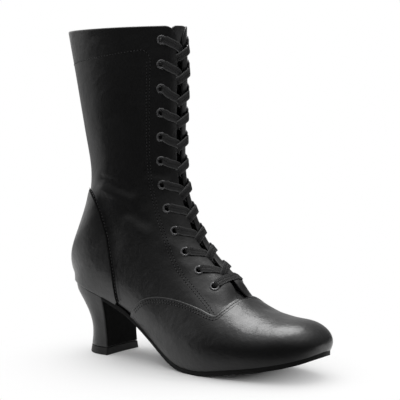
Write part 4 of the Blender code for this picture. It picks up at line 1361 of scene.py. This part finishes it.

# %% [markdown]
# The stitch tree resamples each seam at the stitch pitch and sets one small thread capsule at each point,
# along the seam and flat on the leather. The same tree, shifted by half a pitch, sets a flat black disc at
# the
# end of each stitch: painted shade standing in for the dimple that the needle leaves.

# %% Stitches by Geometry Nodes
def stitch_tree():
    tree, given, leave = node_tree("seam_stitches", ["Length", "Width", "Height", "Shift", "Pitch"])
    line = add_node(tree, "GeometryNodeMeshToCurve", None, Mesh=given["Geometry"])
    spaced = add_node(tree, "GeometryNodeResampleCurve", {"mode": "LENGTH"}, Curve=line.outputs[0],
                      Length=given["Pitch"])
    capsule = add_node(tree, "GeometryNodeMeshUVSphere", None, Segments=8, Rings=5, Radius=0.5)
    scale = add_node(tree, "ShaderNodeCombineXYZ", None, X=given["Length"], Y=given["Width"],
                     Z=given["Height"])
    shift = add_node(tree, "ShaderNodeCombineXYZ", None, X=given["Shift"])
    thread = add_node(tree, "GeometryNodeTransform", None, Geometry=capsule.outputs[0],
                      Scale=scale.outputs[0], Translation=shift.outputs[0])
    tangent = add_node(tree, "GeometryNodeInputTangent")
    along = add_node(tree, "FunctionNodeAlignRotationToVector", {"axis": "X"}, Vector=tangent.outputs[0])
    rotation = facing_out(tree, along.outputs[0], "Z", "X")
    placed = add_node(tree, "GeometryNodeInstanceOnPoints", None, Points=spaced.outputs[0],
                      Instance=thread.outputs[0], Rotation=rotation)
    close_tree(tree, given, leave, placed.outputs[0])
    return tree


def along_seams(name, tree, sizes, shift, material):
    points, normals, edges = [], [], []
    for line, leans in seams:
        edges.extend((len(points) + k, len(points) + k + 1) for k in range(len(line) - 1))
        points.extend(line)
        normals.extend(leans)
    long, wide, high = sizes
    return grow(name, tree, points, edges, normals, {
        "Length": long * MM, "Width": wide * MM, "Height": high * MM, "Shift": shift * MM,
        "Pitch": STITCH_PITCH * MM}, material)


seam_tree = stitch_tree()
stitches = along_seams("boot_stitches", seam_tree, (STITCH_LONG, STITCH_WIDE, STITCH_WIDE), 0.0, THREAD)
finish_piece(stitches)
# Painted shade: a flat black disc stands in for each needle dimple.
needle_hole_shades = along_seams("boot_needle_hole_shades", seam_tree, NEEDLE_HOLE_SHADE_SIZE, STITCH_PITCH / 2, HOLE_SHADE)
finish_piece(needle_hole_shades)

# %% [markdown]
# The studio is plain: a pale floor that runs out to white, a pale wall behind the boot, a dark room on the
# camera's side, and one broad soft light overhead. What black leather mirrors decides how black it looks, so
# floor and surroundings show one brightness to the camera and another to reflections. In reflections the
# floor in front of the boot and far from it is a dim glow: painted shade.

# %% Floor and surroundings
FLOOR_HALF = 12.0
FLOOR_NEAR, FLOOR_FAR = 0.06, 0.18      # the lit table ends between these distances
DARK_FROM, DARK_TO, PAINTED_FLOOR_SHADE = 0.05, 0.10, 0.06   # in front, reflections see the floor as a dim glow: painted shade
FADE_FROM, FADE_TO, FADE_MOST = 0.35, 1.1, 0.7      # and further out it fades with distance, a painted falloff of its light
FAR_GLOW, ROOM_FELT, ROOM_MIRRORED = 1.0, 1.12, 0.08
IN_FRONT = (0.47, -0.88, 0.0)
MIRRORED_LIGHTS = [
    # direction, brightness there, and the cosines between which it fades in
    ((0.0, 0.0, 1.0), 0.28, 0.08, 0.65),
    ((0.0, 0.0, 1.0), 1.2, 0.62, 0.97),
    ((-0.588, 0.809, 0.0), 0.45, 0.8, 1.0),
    ((-1.0, 0.0, 0.0), 0.95, 0.5, 0.95),
]


def lit(tree, strength, kind="ShaderNodeEmission"):
    return add_node(tree, kind, None, Color=(1, 1, 1, 1), Strength=strength).outputs[0]


def mixed(tree, mask, first, second):
    return add_node(tree, "ShaderNodeMixShader", None, Fac=mask, i1=first, i2=second).outputs[0]


def toward(tree, vector, direction):
    """How far a vector reaches in a direction."""
    return add_node(tree, "ShaderNodeVectorMath", {"operation": "DOT_PRODUCT"}, i0=vector,
                    i1=direction).outputs["Value"]


def floor_finish():
    material, tree, shader, where = blank_material("pale_floor")
    material.cycles.emission_sampling = "NONE"
    cloudy = noise(tree, where["Object"], 3.0, 2.0)
    fill(tree, shader, Base_Color=two_tone(tree, cloudy, grey(0.78), grey(0.82)), Roughness=0.9,
         Specular_IOR_Level=0.1)
    length = add_node(tree, "ShaderNodeVectorMath", {"operation": "LENGTH"}, i0=where["Object"])
    away = length.outputs["Value"]
    far = spread(tree, away, 0.0, 1.0, FLOOR_NEAR, FLOOR_FAR)
    # Painted shade: to reflections the floor in front of the boot and far from it is a dim glow instead of
    # the lit floor.
    dark = spread(tree, toward(tree, where["Object"], IN_FRONT), 0.0, 1.0, DARK_FROM, DARK_TO)
    painted_floor_shade = math_node(tree, "MAXIMUM", dark, spread(tree, away, 0.0, FADE_MOST, FADE_FROM, FADE_TO))
    path = add_node(tree, "ShaderNodeLightPath").outputs
    seen = math_node(tree, "MULTIPLY", far, path["Is Camera Ray"])
    mirrored = math_node(tree, "MULTIPLY", painted_floor_shade, path["Is Glossy Ray"])
    table = mixed(tree, seen, shader.outputs[0], lit(tree, FAR_GLOW))
    fill(tree, tree.nodes["Material Output"], Surface=mixed(tree, mirrored, table, lit(tree, PAINTED_FLOOR_SHADE)))
    return material


def studio_floor():
    mesh = bpy.data.meshes.new("studio_floor")
    corners = [(-1, -1), (1, -1), (1, 1), (-1, 1)]
    mesh.from_pydata([(x * FLOOR_HALF, y * FLOOR_HALF, 0.0) for x, y in corners], [], [(0, 1, 2, 3)])
    mesh.materials.append(floor_finish())
    floor = add_object("studio_floor", mesh)


def surroundings():
    """White to the camera, even to what it lights, and a few bright directions to reflections."""
    world = bpy.data.worlds.new("studio")
    world.use_nodes = True
    tree = world.node_tree
    tree.nodes.clear()
    path = add_node(tree, "ShaderNodeLightPath").outputs
    way = add_node(tree, "ShaderNodeTexCoord").outputs["Generated"]
    bright = ROOM_MIRRORED
    for direction, strength, start, stop in MIRRORED_LIGHTS:
        glow = spread(tree, toward(tree, way, direction), 0.0, strength, start, stop)
        bright = math_node(tree, "ADD", glow, bright)
    room, walls, seen = (
        lit(tree, strength, "ShaderNodeBackground") for strength in (ROOM_FELT, bright, FAR_GLOW))
    felt = mixed(tree, path["Is Glossy Ray"], room, walls)
    add_node(tree, "ShaderNodeOutputWorld", None, Surface=mixed(tree, path["Is Camera Ray"], felt, seen))
    world.cycles.sampling_method = "NONE"
    bpy.context.scene.world = world


studio_floor()
surroundings()
bpy.context.scene.view_settings.view_transform = "Standard"
print("floor and surroundings ready")

# %% [markdown]
# Two suns with very wide angles stand for the overhead light. One lights the floor and casts the shadow, and
# the leather does not mirror it. The other is the round softbox that the leather mirrors, and it lights
# nothing else.

# %% Lights
BOOT_MIDDLE = (0.0, 0.0, 0.12)


def aimed(name, data, place, target):
    """New object that looks from a place to a target."""
    added = add_object(name, data)
    added.location = place
    added.rotation_euler = (Vector(target) - Vector(place)).to_track_quat("-Z", "Y").to_euler()
    return added


def sun(name, place, strength, degrees):
    data = bpy.data.lights.new(name, "SUN")
    data.energy, data.angle = strength, math.radians(degrees)
    return aimed(name, data, place, BOOT_MIDDLE)


sun("overhead", (-0.25, 0.25, 1.98), 0.8, 60).visible_glossy = False
sun("softbox", (-0.47, 0.47, 1.98), 2.8, 44).visible_diffuse = False
print("lights ready")

# %% [markdown]
# The camera stands where the photograph was taken from: low, in front of the toe's outer side, with a long
# lens. Its place was worked out from the boot's own sizes, so the picture is framed as in the photograph.

# %% Camera
CAMERA_PLACE = (0.6388, -0.8727, 0.2350)
CAMERA_TARGET = (0.003975, 0.000998, 0.1300)
SENSOR, PICTURE, FOCAL_PIXELS = 36.0, 400, 1385.0

camera_data = bpy.data.cameras.new("camera")
camera_data.sensor_width = SENSOR
camera_data.lens = FOCAL_PIXELS / PICTURE * SENSOR
camera = aimed("camera", camera_data, CAMERA_PLACE, CAMERA_TARGET)
bpy.context.scene.camera = camera
print("lens:", round(camera_data.lens, 1), "mm")
